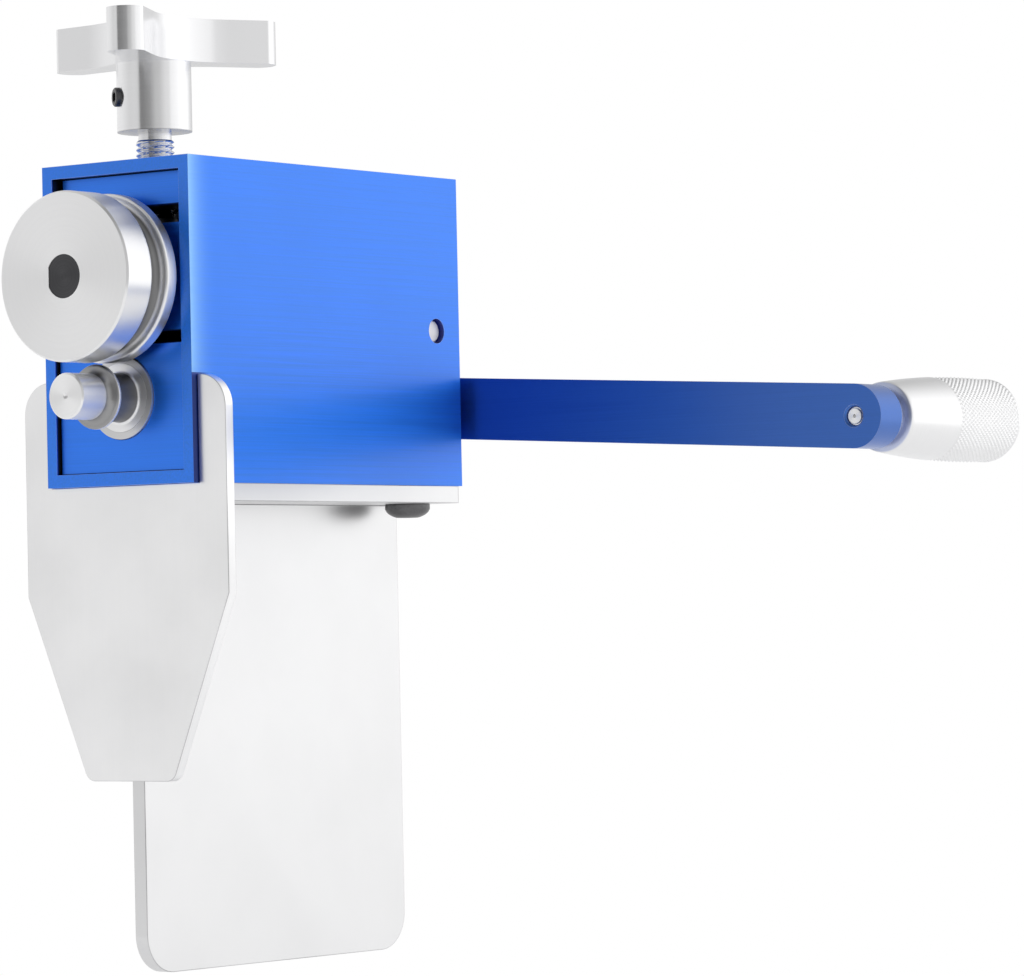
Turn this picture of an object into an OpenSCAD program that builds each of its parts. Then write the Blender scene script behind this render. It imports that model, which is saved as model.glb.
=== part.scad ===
// Hand-cranked tube beader for a bench vise.
// A grooved upper die on a rocking block is pressed by a screw towards a ridged lower die,
// which the crank turns. The origin is on the right face of the vise plate, in the middle
// of the stretch that the jaws hold. X points right, Y from the dies to the crank, Z up.

/* [Housing tube] */
// Width of the rectangular tube
housing_w = 60; // [56:1:72]
// Length of the tube from front to rear
housing_d = 133; // [120:1:160]
// Wall thickness of the tube
housing_wall = 4; // [3:0.5:5]

/* [Blocks inside the tube] */
// Height of the threaded block under the top wall
top_block_h = 10.5; // [9:0.5:14]
// Length of the threaded block
top_block_d = 60; // [50:1:70]
// Distance of the threaded block behind the tube's front
top_block_setback = 3.5; // [2:0.5:5]
// Side gap of the threaded block
top_block_gap = 1.2; // [0.2:0.1:2]
// Height of the rocking block
rocker_h = 33; // [30:0.5:36]
// Distance of the rocking block behind the tube's front
rocker_setback = 2.5; // [2:0.1:4]
// Distance of the rocking block from the tube's rear
rocker_rear_setback = 4; // [3.5:0.5:6]
// Side gap of the rocking block
rocker_gap = 1; // [0.4:0.1:2]
// Slot under the rocking block
lower_slot = 3.7; // [3:0.1:5]
// Slot over the rocking block
upper_slot = 5.6; // [5:0.1:8]
// Distance of the lower block behind the tube's front
lower_block_setback = 1.7; // [1.2:0.1:3]
// Distance of the lower block from the tube's rear
lower_block_rear_setback = 2; // [1:0.5:3]
// Side gap of the lower block
lower_block_gap = 0.45; // [0.2:0.05:1.5]

/* [Rocker pivot] */
// Radius of the pivot pin
pivot_r = 4; // [3:0.5:4.5]
// Distance of the pivot from the tube's rear
pivot_inset = 11.8; // [11:0.1:14]
// Distance of the pivot below the upper shaft's axis
pivot_drop = 13.3; // [13:0.1:14]
// Depth of the pin's ends below the side walls
pivot_pin_recess = 1.8; // [0.5:0.1:2.5]
// Length of the rocker's lug ahead of the pivot
lug_reach = 11; // [9:0.5:14]
// Height of the lug's underside below the rocker
lug_drop = 5.4; // [4.5:0.1:6]

/* [Dies] */
// Distance of both dies' front faces ahead of the tube
die_reach = 24; // [22:0.1:28]
// Radius of the upper die
upper_die_r = 26.1; // [24:0.1:28]
// Length of the upper die's front land
upper_land = 11.4; // [10:0.1:12]
// Width of the upper die's groove
groove_w = 6.7; // [5.6:0.1:7.5]
// Depth of the upper die's groove
groove_depth = 3.6; // [3:0.1:5]
// Radius of the groove's root corners
groove_root_r = 2.2; // [1:0.1:2.6]
// Radius of the groove's lips
groove_lip_r = 0.8; // [0.3:0.1:1]
// Thickness of the upper die's rear flange
flange_t = 4.7; // [3:0.1:5]
// Chamfer of the upper die's outer edges
die_chamfer = 0.6; // [0.2:0.1:1]
// Radius of the lower die's nose
nose_r = 7.1; // [6:0.1:8]
// Radius of the lower die's bead ridge
ridge_r = 10; // [9:0.1:10.8]
// Distance of the ridge's top behind the dies' front faces
ridge_reach = 13.8; // [13:0.1:14.4]
// Radius of the ridge's crest
crest_r = 1; // [0.6:0.1:1.2]
// Radius of the fillet between nose and ridge
ridge_fillet_r = 2; // [1:0.1:2.2]
// Radius of the lower die's neck behind the ridge
neck_r = 7.5; // [6:0.1:7.8]
// Radius of the lathe centre's mark in the nose
centre_mark_r = 1; // [0.6:0.1:1.5]
// Gap between the nose and the upper die
roll_gap = 3.2; // [2.8:0.1:5]

/* [Upper shaft] */
// Radius of the upper shaft
upper_shaft_r = 6.75; // [6.4:0.05:7.1]
// Distance of the shaft's flat from its axis
upper_flat = 6.05; // [5.5:0.05:6.4]
// Radius of the shaft's collar behind the die
collar_r = 9.5; // [8.5:0.1:11]
// Outer radius of the upper bushes
upper_bush_r = 8.3; // [8:0.1:8.6]
// Length of the upper bushes
upper_bush_len = 22; // [15:1:30]
// Radius of the upper bushes' flanges
upper_bush_flange_r = 11; // [10:0.1:13]
// Thickness of the upper bushes' flanges
upper_bush_flange_t = 1.5; // [1:0.1:1.8]
// Thickness of the retaining ring
ring_t = 1.2; // [0.8:0.1:1.5]
// Outer radius of the retaining ring
ring_r = 8.8; // [8.2:0.1:9.5]

/* [Drive shaft] */
// Height of the drive axis above the tube's floor
drive_rise = 23; // [20:0.5:26]
// Radius of the front journal
journal_r = 10.6; // [9.5:0.1:11]
// Distance of the journal's front face behind the tube's front
journal_setback = 0.9; // [0.8:0.1:1.1]
// Radius of the fillet where the neck meets the journal
neck_fillet_r = 1; // [0.4:0.1:1.5]
// Radius of the shaft between its bushes
drive_r = 8; // [7:0.1:9]
// Radius of the shaft's end in the crank arm
drive_end_r = 6; // [5:0.1:6.5]
// Outer radius of the front bush
front_bush_r = 12.8; // [12:0.1:13.4]
// Length of the front bush
front_bush_len = 18; // [14:1:24]
// Distance that the front bush stands out of the lower block
front_bush_proud = 0.7; // [0.2:0.1:1]
// Outer radius of the rear bush
rear_bush_r = 10.6; // [10:0.1:11.5]
// Length of the rear bush
rear_bush_len = 18; // [14:1:22]
// Radius of the rear bush's flange
rear_bush_flange_r = 13.5; // [12:0.1:14.5]

/* [Crank] */
// Distance from the drive axis to the grip's axis
crank_len = 180; // [120:1:220]
// Angle of the crank below the horizontal
crank_drop = 3.3; // [0:0.1:10]
// Width of the crank arm
arm_w = 20; // [18:0.5:24]
// Thickness of the crank arm
arm_t = 12; // [10:0.5:14]
// Gap between the tube's rear and the arm
arm_gap = 4; // [3:0.1:8]
// Outer radius of the spacer ring
spacer_r = 11; // [10:0.1:13]

/* [Grip] */
// Length of the grip
grip_len = 64.7; // [58:0.1:90]
// Largest radius of the grip
grip_r = 13.55; // [12.5:0.05:16]
// Radius of the grip at its front shoulder
grip_front_r = 11; // [10:0.1:12]
// Distance of the grip's thickest place from its front
grip_crown = 49; // [40:1:55]
// Length of the grip's neck and shoulder
grip_lead = 3.6; // [2:0.1:5]
// Radius of the grip's neck at the washer
grip_neck_r = 8; // [7:0.1:9]
// Chamfer of the grip's shoulder
grip_chamfer = 0.4; // [0.2:0.1:0.8]
// Radius of the rounding at the grip's far end
grip_end_r = 1.6; // [1:0.1:3]
// Radius of the spindle inside the grip
spindle_r = 4; // [3.5:0.1:5]
// Radius of the spindle's end in the arm
spindle_end_r = 3; // [2.5:0.1:3.4]
// Radius of the spindle's head
spindle_head_r = 6.5; // [6:0.1:7]
// Thickness of the spindle's head
spindle_head_t = 4; // [3:0.1:5]
// Radius of the washer
grip_washer_r = 9.5; // [9:0.1:9.9]
// Thickness of the washer
grip_washer_t = 0.8; // [0.5:0.1:1.5]

/* [Pressure screw and knob] */
// Radius of the screw over its thread
screw_r = 6; // [5:0.1:7]
// Radius of the screw's plain stem
stem_r = 5.2; // [4.5:0.1:5.5]
// Distance of the screw's axis behind the tube's front
screw_setback = 19.4; // [18:0.1:24]
// Gap between the tube's top and the knob's hub
knob_gap = 10; // [8:0.5:16]
// Length of the plain stem that shows under the hub
stem_len = 2.6; // [1:0.1:4]
// Radius of the foot under the screw
pad_r = 6.5; // [6:0.1:8]
// Thickness of the foot
pad_t = 2.9; // [2.6:0.1:3.4]
// Radius of the screw's tip in the foot
tip_r = 3; // [2.5:0.1:3.5]
// Radius of the knob's hub
hub_r = 11.65; // [10:0.05:13]
// Height of the hub below the arms
hub_h = 21.5; // [18:0.5:26]
// Height of the knob's arms
knob_arm_h = 13.5; // [10:0.5:16]
// Reach of the knob's arms from its axis
knob_reach = 39.5; // [34:0.5:50]
// Width of the knob's arms
knob_arm_w = 11.6; // [10:0.1:14]
// Radius of the hollow between two arms
knob_hollow_r = 33; // [28:0.5:36]
// Radius of the arms' tip corners
knob_tip_r = 4; // [2:0.1:4.8]
// Direction of the first arm
knob_turn = -62.4; // [-180:0.1:180]
// Height of the grub screw above the hub's underside
knob_screw_rise = 10.8; // [8:0.1:14]
// Distance that the grub screw stands out of the hub
knob_screw_proud = 1.3; // [0.5:0.1:3]

/* [Return springs] */
// Mean radius of a spring's coil
spring_r = 3.7; // [3:0.1:4]
// Radius of the spring's wire
wire_r = 0.6; // [0.4:0.05:0.8]
// Turns of a spring
spring_turns = 6; // [4:1:8]
// Radius of the pockets that hold a spring
pocket_r = 5; // [4.9:0.1:6]
// Depth of the pocket in the lower block
lower_pocket = 12; // [8:0.5:16]
// Depth of the pocket in the rocker
upper_pocket = 8; // [6:0.5:10]
// Distance of the springs behind the tube's front
spring_setback = 45; // [40:1:60]
// Distance of the springs from the rocker's sides
spring_inset = 8; // [7:0.5:10]

/* [Stand] */
// Thickness of the plate under the tube
base_t = 5.5; // [4:0.5:8]
// Radius of the base plate's rear corners
base_corner_r = 3; // [1:0.5:6]
// Thickness of the upright vise plate
plate_t = 5; // [4:0.5:8]
// Height of the vise plate below the base plate
plate_drop = 145; // [120:1:180]
// Radius of the vise plate's lower corners
plate_corner_r = 12; // [6:0.5:20]
// Height of the jaws' middle above the plate's lower edge
clamp_rise = 30; // [25:1:40]
// Thickness of the tube stop
stop_t = 3.6; // [2.5:0.1:5]
// Distance of the tube stop's face behind the tube's front
stop_setback = 2.2; // [1:0.1:4]
// Width of the stop's arms beside the tube
stop_arm_w = 11.2; // [8:0.1:14]
// Height of the stop's arms above the tube's underside
stop_arm_rise = 33; // [24:0.5:40]
// Radius of the arms' outer corners
stop_shoulder_r = 10; // [4:0.5:10.5]
// Depth of the stop's straight sides below the tube
stop_side_drop = 33.7; // [20:0.1:50]
// Depth of the stop below the tube
stop_drop = 91; // [70:1:110]
// Width of the stop's lower edge before its corners are rounded
stop_tip_w = 35; // [24:0.5:44]
// Radius of the stop's lower corners
stop_tip_r = 4; // [2:0.5:6]
// Clearance between the stop and the tube
stop_clearance = 0.2; // [0.1:0.05:0.5]

/* [Fasteners] */
// Radius of the base screws
base_screw_r = 4; // [3:0.5:5]
// Radius of the base screws' heads
base_head_r = 7.3; // [6.5:0.1:8]
// Height of the base screws' heads
base_head_h = 4.4; // [3.5:0.1:5]
// Depth of the base screws in the lower block
base_screw_bite = 12; // [8:0.5:14]
// Distance of the base screws from the middle plane
base_screw_x = 15; // [13:0.5:17]
// Distance of the base screws from the base plate's ends
base_screw_inset = 10; // [9:0.5:14]
// Radius of the top block's screws
top_screw_r = 2.5; // [2:0.5:3]
// Radius of the countersunk heads
top_head_r = 5; // [4.5:0.1:6]
// Depth of the top screws in the block
top_screw_bite = 7; // [5:0.5:8]
// Distance of the top screws behind the pressure screw
top_screw_reach = 26; // [22:0.5:30]
// Distance of the top screws from the middle plane
top_screw_x = 14; // [10:0.5:18]
// Radius of the knob's and upper die's grub screws
grub_r = 3; // [2:0.5:3]
// Radius of the crank's grub screw
crank_grub_r = 2.5; // [2:0.5:3]
// Length of the upper die's grub screw
die_grub_len = 8; // [6:0.5:14]

/* [Fits] */
// Radial clearance of a running fit
running = 0.05; // [0.02:0.01:0.08]
// End play between faces that turn on each other
end_play = 0.1; // [0.05:0.01:0.2]
// Radial clearance of a screw in a plain hole
screw_clearance = 0.5; // [0.3:0.1:0.8]

/* [Hidden] */
$fn = 96;
eps = 0.01;

// Colours of the finishes
blue = [0.1, 0.32, 0.86];
steel = [0.78, 0.78, 0.8];
bright = [0.88, 0.88, 0.9];
dark = [0.16, 0.16, 0.17];
bronze = [0.72, 0.55, 0.32];

// Heights, measured from the tube's underside
drive_z = housing_wall + drive_rise;
upper_z = drive_z + nose_r + roll_gap + upper_die_r;
rocker_z = upper_z - rocker_h / 2;
rocker_top_z = rocker_z + rocker_h;
lower_top_z = rocker_z - lower_slot;
top_block_z = rocker_top_z + upper_slot;
housing_h = top_block_z + top_block_h + housing_wall;
pivot_z = upper_z - pivot_drop;
lug_z = rocker_z - lug_drop;
lug_room = 1.5;
hub_z = housing_h + knob_gap;
plate_z = -base_t - plate_drop;

// Places along the tube, measured from its front end
inner_w = housing_w - 2 * housing_wall;
rocker_w = inner_w - 2 * rocker_gap;
rocker_rear = housing_d - rocker_rear_setback;
lower_block_rear = housing_d - lower_block_rear_setback;
pivot_y = housing_d - pivot_inset;
lug_front = pivot_y - lug_reach;
stop_back = stop_setback + stop_t;
arm_front = housing_d + arm_gap;
arm_rear = arm_front + arm_t;
grip_front = arm_rear + grip_washer_t + end_play;
bush_front = lower_block_setback - front_bush_proud;
bush_seat = bush_front + front_bush_len;
spring_x = rocker_w / 2 - spring_inset;
base_screw_y = [stop_back + base_screw_inset, housing_d - base_screw_inset];
die_rear = -die_reach + upper_land + groove_w + flange_t;
ring_seat = rocker_rear + upper_bush_flange_t + end_play;

// Carries a form from the tube's front lower middle to the frame's origin.
module placed() {
  translate([-plate_t / 2, -(stop_back + housing_d) / 2, -plate_z - clamp_rise]) children();
}

// Lays an upright form along Y, from a given place on the middle plane.
module along_y(y, z) {
  translate([0, y, z]) rotate([-90, 0, 0]) children();
}

// Lays an upright form along X, centred on the middle plane.
module along_x(y, z) {
  translate([0, y, z]) rotate([0, 90, 0]) children();
}

// Turns a form about the drive axis to the crank's rest angle.
module at_crank() {
  translate([0, 0, drive_z]) rotate([0, crank_drop, 0]) children();
}

// Block that fills the tube's width between two heights.
module block(w, front, rear, low, high) {
  translate([-w / 2, front, low]) cube([w, rear - front, high - low]);
}

// Tapers a bar's end from one radius to another.
module chamfered_rod(r, len, chamfer) {
  rotate_extrude()
    polygon([[0, 0], [r - chamfer, 0], [r, chamfer], [r, len - chamfer], [r - chamfer, len], [0, len]]);
}

// Ring between two radii.
module ring(outer_r, inner_r, len) {
  difference() {
    cylinder(r = outer_r, h = len);
    translate([0, 0, -eps]) cylinder(r = inner_r, h = len + 2 * eps);
  }
}

// Plain bearing with a flange at its start, which stands on the part that holds it.
module flanged_bush(r, len, flange_r, flange_t, bore_r) {
  difference() {
    union() {
      cylinder(r = r, h = flange_t + len);
      cylinder(r = flange_r, h = flange_t);
    }
    translate([0, 0, -eps]) cylinder(r = bore_r, h = flange_t + len + 2 * eps);
  }
}

// Headless screw with a six-sided socket in its far end.
module grub_screw(r, len) {
  socket_r = r * 0.58;
  socket_depth = min(r, len / 2);
  difference() {
    chamfered_rod(r, len, r * 0.12);
    translate([0, 0, len - socket_depth]) cylinder(r = socket_r, h = socket_depth + eps, $fn = 6);
  }
}

// Round-headed screw, its shank upwards from the head's seat.
module button_screw(r, head_r, head_h, len) {
  rim = head_h * 0.28;
  dome_r = (pow(head_r, 2) + pow(head_h - rim, 2)) / (2 * (head_h - rim));
  socket_r = head_r * 0.4;
  socket_depth = head_h * 0.6;
  difference() {
    union() {
      cylinder(r = r, h = len);
      intersection() {
        translate([0, 0, -head_h]) cylinder(r = head_r, h = head_h);
        translate([0, 0, -head_h + dome_r]) sphere(r = dome_r);
      }
    }
    translate([0, 0, -head_h - eps]) cylinder(r = socket_r, h = socket_depth + eps, $fn = 6);
  }
}

module housing_tube() {
  color(blue) placed() difference() {
    block(housing_w, 0, housing_d, 0, housing_h);
    block(inner_w, -eps, housing_d + eps, housing_wall, housing_h - housing_wall);
    along_x(pivot_y, pivot_z) cylinder(r = pivot_r, h = housing_w + 2 * eps, center = true);
    translate([0, screw_setback, housing_h / 2]) cylinder(r = screw_r + screw_clearance, h = housing_h);
    for (y = base_screw_y, side = [-1, 1])
      translate([side * base_screw_x, y, -eps])
        cylinder(r = base_screw_r + screw_clearance, h = housing_wall + 2 * eps);
    at_top_screws() top_screw_form(screw_clearance);
  }
}

module top_block() {
  front = top_block_setback;
  color(blue) placed() difference() {
    block(inner_w - 2 * top_block_gap, front, front + top_block_d, top_block_z, top_block_z + top_block_h);
    translate([0, screw_setback, top_block_z - eps]) cylinder(r = screw_r + running, h = top_block_h + 2 * eps);
    translate([0, screw_setback, top_block_z - eps]) cylinder(r = pad_r + pad_room, h = pad_lift + eps);
    at_top_screws() translate([0, 0, -housing_wall - top_screw_bite])
      cylinder(r = top_screw_r, h = housing_wall + top_screw_bite);
  }
}

// Room for the foot in the top block when the screw is backed off
pad_room = 0.8;
pad_lift = 2;

// Puts a form at each top screw, from the tube's top face downwards.
module at_top_screws() {
  for (side = [-1, 1])
    translate([side * top_screw_x, screw_setback + top_screw_reach, housing_h]) children();
}

// Countersunk screw below the tube's top face, or its hole with a clearance on the shank.
module top_screw_form(clearance = 0) {
  head_h = top_head_r - top_screw_r;
  translate([0, 0, -head_h]) cylinder(r1 = top_screw_r, r2 = top_head_r, h = head_h);
  translate([0, 0, -housing_wall - top_screw_bite])
    cylinder(r = top_screw_r + clearance, h = housing_wall + top_screw_bite);
}

module rocker_block() {
  bush_depth = upper_bush_len;
  color(blue) placed() difference() {
    union() {
      block(rocker_w, rocker_setback, rocker_rear, rocker_z, rocker_top_z);
      block(rocker_w, lug_front, rocker_rear, lug_z, rocker_z + eps);
    }
    along_y(rocker_setback - eps, upper_z)
      cylinder(r = upper_shaft_r + screw_clearance, h = rocker_rear - rocker_setback + 2 * eps);
    along_y(rocker_setback - eps, upper_z) cylinder(r = upper_bush_r, h = bush_depth + eps);
    along_y(rocker_rear - bush_depth, upper_z) cylinder(r = upper_bush_r, h = bush_depth + eps);
    along_x(pivot_y, pivot_z) cylinder(r = pivot_r + running, h = housing_w, center = true);
    at_springs(rocker_z - eps) cylinder(r = pocket_r, h = upper_pocket + eps);
  }
}

// Puts a form at each return spring, at a given height.
module at_springs(z) {
  for (side = [-1, 1])
    translate([side * spring_x, spring_setback, z]) children();
}

module lower_block() {
  w = inner_w - 2 * lower_block_gap;
  color(blue) placed() difference() {
    block(w, lower_block_setback, lower_block_rear, housing_wall, lower_top_z);
    block(housing_w, lug_front - lug_room, housing_d, lug_z - lug_room, housing_h);
    along_y(0, drive_z) cylinder(r = drive_r + screw_clearance, h = housing_d);
    along_y(0, drive_z) cylinder(r = front_bush_r, h = bush_seat);
    along_y(lower_block_rear - rear_bush_len, drive_z) cylinder(r = rear_bush_r, h = rear_bush_len + eps);
    at_springs(lower_top_z - lower_pocket) cylinder(r = pocket_r, h = lower_pocket + eps);
    at_base_screws() cylinder(r = base_screw_r, h = base_t + housing_wall + base_screw_bite);
  }
}

module pivot_pin() {
  len = housing_w - 2 * pivot_pin_recess;
  color(steel) placed() translate([-len / 2, pivot_y, pivot_z]) rotate([0, 90, 0])
    chamfered_rod(pivot_r, len, pivot_r * 0.18);
}

// Half section of the upper die, radius to the right, front face at the bottom.
module upper_die_section() {
  len = upper_land + groove_w + flange_t;
  groove_y = upper_land;
  root = upper_die_r - groove_depth;
  c = die_chamfer;
  difference() {
    polygon([[0, 0], [upper_die_r - c, 0], [upper_die_r, c], [upper_die_r, len - c], [upper_die_r - c, len], [0, len]]);
    translate([root + groove_root_r, groove_y]) square([groove_depth, groove_w]);
    translate([root, groove_y + groove_root_r]) square([groove_depth, groove_w - 2 * groove_root_r]);
    for (y = [groove_y + groove_root_r, groove_y + groove_w - groove_root_r])
      translate([root + groove_root_r, y]) circle(r = groove_root_r);
    groove_lip(groove_y, -1);
    groove_lip(groove_y + groove_w, 1);
  }
}

// Cuts the sharp corner off one lip of the groove and leaves it round.
module groove_lip(y, side) {
  difference() {
    translate([upper_die_r - groove_lip_r, side > 0 ? y - eps : y - groove_lip_r])
      square([groove_lip_r + eps, groove_lip_r + eps]);
    translate([upper_die_r - groove_lip_r, y + side * groove_lip_r]) circle(r = groove_lip_r);
  }
}

// Round bar with one flat, along Z, the flat towards -X.
module flatted_bar(r, flat, len) {
  linear_extrude(len) intersection() {
    circle(r = r);
    translate([-flat, -r]) square([flat + r, 2 * r]);
  }
}

module upper_die() {
  len = upper_land + groove_w + flange_t;
  color(steel) placed() difference() {
    along_y(-die_reach, upper_z) rotate_extrude() upper_die_section();
    along_y(-die_reach - eps, upper_z) flatted_bar(upper_shaft_r, upper_flat, len + 2 * eps);
    at_die_screw() cylinder(r = grub_r, h = upper_die_r);
  }
}

// Starts a form at the upper shaft's flat, pointing left through the upper die.
module at_die_screw() {
  translate([-upper_flat, -die_reach + upper_land / 2, upper_z]) rotate([0, -90, 0]) children();
}

module upper_die_set_screw() {
  color(dark) placed() at_die_screw() grub_screw(grub_r, die_grub_len);
}

module upper_shaft() {
  end_recess = 0.2;
  collar_len = rocker_setback - upper_bush_flange_t - end_play - die_rear;
  tail = ring_t + 1;
  groove_r = upper_shaft_r - 0.75;
  color(dark) placed() difference() {
    union() {
      along_y(-die_reach + end_recess, upper_z)
        flatted_bar(upper_shaft_r, upper_flat, die_reach + die_rear - end_recess + eps);
      along_y(die_rear, upper_z) cylinder(r = upper_shaft_r, h = ring_seat + tail - die_rear);
      along_y(die_rear, upper_z) cylinder(r = collar_r, h = collar_len);
    }
    along_y(ring_seat, upper_z) ring(upper_shaft_r + eps, groove_r, ring_t);
  }
}

module upper_front_bush() {
  color(bronze) placed() along_y(rocker_setback - upper_bush_flange_t, upper_z) upper_bush();
}

module upper_rear_bush() {
  color(bronze) placed() translate([0, rocker_rear + upper_bush_flange_t, upper_z]) rotate([90, 0, 0]) upper_bush();
}

module upper_bush() {
  flanged_bush(upper_bush_r, upper_bush_len, upper_bush_flange_r, upper_bush_flange_t, upper_shaft_r + running);
}

module upper_retaining_ring() {
  groove_r = upper_shaft_r - 0.75;
  mouth = groove_r;
  color(dark) placed() along_y(ring_seat, upper_z) difference() {
    ring(ring_r, groove_r, ring_t);
    translate([-mouth / 2, 0, -eps]) cube([mouth, ring_r + eps, ring_t + 2 * eps]);
  }
}

// Half section of the drive shaft, radius to the right, nose at the bottom.
module drive_shaft_section() {
  crest_y = ridge_reach;
  face_y = die_reach + journal_setback;
  fillet_y = crest_y - crest_r - ridge_fillet_r;
  journal_end = die_reach + bush_seat - 2 * end_play;
  step_y = die_reach + arm_front;
  end_y = die_reach + arm_rear + 0.5;
  nose_c = 0.5;
  polygon([[0, 0], [nose_r - nose_c, 0], [nose_r, nose_c], [nose_r, fillet_y + eps], [0, fillet_y + eps]]);
  difference() {
    translate([0, fillet_y]) square([nose_r + ridge_fillet_r, ridge_fillet_r + eps]);
    translate([nose_r + ridge_fillet_r, fillet_y]) circle(r = ridge_fillet_r);
  }
  translate([ridge_r - crest_r, crest_y]) circle(r = crest_r);
  translate([0, crest_y - crest_r]) square([ridge_r - crest_r, 2 * crest_r]);
  translate([0, crest_y]) square([neck_r, face_y - crest_y + eps]);
  difference() {
    translate([0, face_y - neck_fillet_r]) square([neck_r + neck_fillet_r, neck_fillet_r + eps]);
    translate([neck_r + neck_fillet_r, face_y - neck_fillet_r]) circle(r = neck_fillet_r);
  }
  translate([0, face_y]) square([journal_r, journal_end - face_y]);
  translate([0, journal_end - eps]) square([drive_r, step_y - journal_end + eps]);
  translate([0, step_y - eps]) square([drive_end_r, end_y - step_y + eps]);
}

module drive_shaft() {
  color(steel) placed() difference() {
    along_y(-die_reach, drive_z) rotate_extrude() drive_shaft_section();
    along_y(-die_reach - eps, drive_z) cylinder(r1 = centre_mark_r, r2 = 0, h = centre_mark_r);
    at_crank() translate([-drive_end_r - eps, arm_front, -drive_end_r])
      cube([drive_end_r - crank_flat + eps, arm_t + 1, 2 * drive_end_r]);
  }
}

// Distance of the flat on the shaft's end from its axis
crank_flat = drive_end_r - 0.7;

module drive_front_bush() {
  color(steel) placed() along_y(bush_front, drive_z) ring(front_bush_r, journal_r + running, front_bush_len);
}

module drive_rear_bush() {
  color(bronze) placed() translate([0, housing_d, drive_z]) rotate([90, 0, 0])
    flanged_bush(rear_bush_r, rear_bush_len, rear_bush_flange_r, lower_block_rear_setback, drive_r + running);
}

module crank_arm() {
  color(blue) placed() at_crank() difference() {
    translate([0, arm_front, 0]) rotate([-90, 0, 0]) linear_extrude(arm_t) {
      circle(d = arm_w);
      translate([crank_len, 0]) circle(d = arm_w);
      translate([0, -arm_w / 2]) square([crank_len, arm_w]);
    }
    translate([0, arm_front - eps, 0]) rotate([-90, 0, 0])
      flatted_bar(drive_end_r, crank_flat, arm_t + 2 * eps);
    translate([-crank_flat, arm_front + arm_t / 2, 0]) rotate([0, -90, 0]) cylinder(r = crank_grub_r, h = arm_w);
    translate([crank_len, arm_front - eps, 0]) rotate([-90, 0, 0]) {
      cylinder(r = spindle_end_r, h = arm_t + 2 * eps);
      cylinder(r1 = spindle_end_r + 0.6, r2 = spindle_end_r, h = 0.6);
    }
  }
}

module crank_spacer() {
  color(steel) placed() along_y(housing_d + end_play, drive_z)
    ring(spacer_r, drive_r, arm_gap - end_play);
}

module crank_set_screw() {
  color(dark) placed() at_crank() translate([-crank_flat, arm_front + arm_t / 2, 0]) rotate([0, -90, 0])
    grub_screw(crank_grub_r, arm_w / 2 - crank_flat - 0.4);
}

// Half section of the grip's outside, radius to the right, its washer end at the bottom.
module grip_section() {
  drop = grip_r - grip_front_r;
  half = grip_crown - grip_lead;
  barrel_r = (pow(half, 2) + pow(drop, 2)) / (2 * drop);
  tail = grip_len - grip_crown;
  end_r = grip_r - barrel_r + sqrt(pow(barrel_r, 2) - pow(tail - grip_end_r, 2));
  shoulder = grip_lead - grip_chamfer;
  polygon([
    [0, 0], [grip_neck_r, 0], [grip_neck_r, shoulder], [grip_front_r - grip_chamfer, shoulder],
    [grip_front_r, grip_lead], [0, grip_lead]
  ]);
  intersection() {
    translate([0, grip_lead - eps]) square([grip_r, grip_len - grip_end_r - grip_lead + 2 * eps]);
    translate([grip_r - barrel_r, grip_crown]) circle(r = barrel_r, $fn = 360);
  }
  translate([end_r - grip_end_r, grip_len - grip_end_r]) circle(r = grip_end_r);
  translate([0, grip_len - grip_end_r]) square([end_r - grip_end_r, grip_end_r]);
}

// Puts a form on the grip's axis, along Y from a given place.
module at_grip(y) {
  at_crank() translate([crank_len, y, 0]) rotate([-90, 0, 0]) children();
}

// Recess of the spindle's head below the grip's end
head_recess = 1.6;
head_seat = grip_len - head_recess - spindle_head_t;

module grip() {
  color(bright) placed() at_grip(grip_front) difference() {
    rotate_extrude() grip_section();
    translate([0, 0, -eps]) cylinder(r = spindle_r + running, h = grip_len);
    translate([0, 0, head_seat - end_play]) cylinder(r = spindle_head_r + screw_clearance, h = grip_len);
  }
}

module grip_spindle() {
  end_recess = 0.4;
  seat = grip_front - arm_rear + head_seat;
  color(steel) placed() at_grip(arm_rear) difference() {
    union() {
      translate([0, 0, -arm_t + end_recess]) cylinder(r = spindle_end_r, h = arm_t - end_recess + eps);
      cylinder(r = spindle_r, h = seat + eps);
      translate([0, 0, seat]) cylinder(r = spindle_head_r, h = spindle_head_t);
    }
    translate([0, 0, seat + spindle_head_t / 3]) cylinder(r = spindle_head_r * 0.5, h = spindle_head_t, $fn = 6);
  }
}

module grip_washer() {
  color(steel) placed() at_grip(arm_rear) ring(grip_washer_r, spindle_r, grip_washer_t);
}

// Height of the foot on the rocker, and of the screw's shoulder on the foot
pad_z = rocker_top_z + end_play / 2;
screw_foot_z = pad_z + pad_t + end_play / 2;
tip_len = pad_t * 0.6;
stem_grip = 26;

module pressure_screw() {
  color(steel) placed() translate([0, screw_setback, 0]) {
    translate([0, 0, screw_foot_z - tip_len]) cylinder(r = tip_r, h = tip_len + eps);
    translate([0, 0, screw_foot_z]) cylinder(r = screw_r, h = hub_z - stem_len - screw_foot_z);
    translate([0, 0, hub_z - stem_len - eps]) cylinder(r = stem_r, h = stem_len + stem_grip + eps);
  }
}

module pressure_pad() {
  crown_h = 0.4;
  crown_r = (pow(pad_r, 2) + pow(crown_h, 2)) / (2 * crown_h);
  color(dark) placed() translate([0, screw_setback, pad_z]) difference() {
    intersection() {
      cylinder(r = pad_r, h = pad_t);
      translate([0, 0, crown_r]) sphere(r = crown_r);
    }
    translate([0, 0, pad_t - tip_len]) cylinder(r = tip_r + running, h = tip_len + eps);
  }
}

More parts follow.
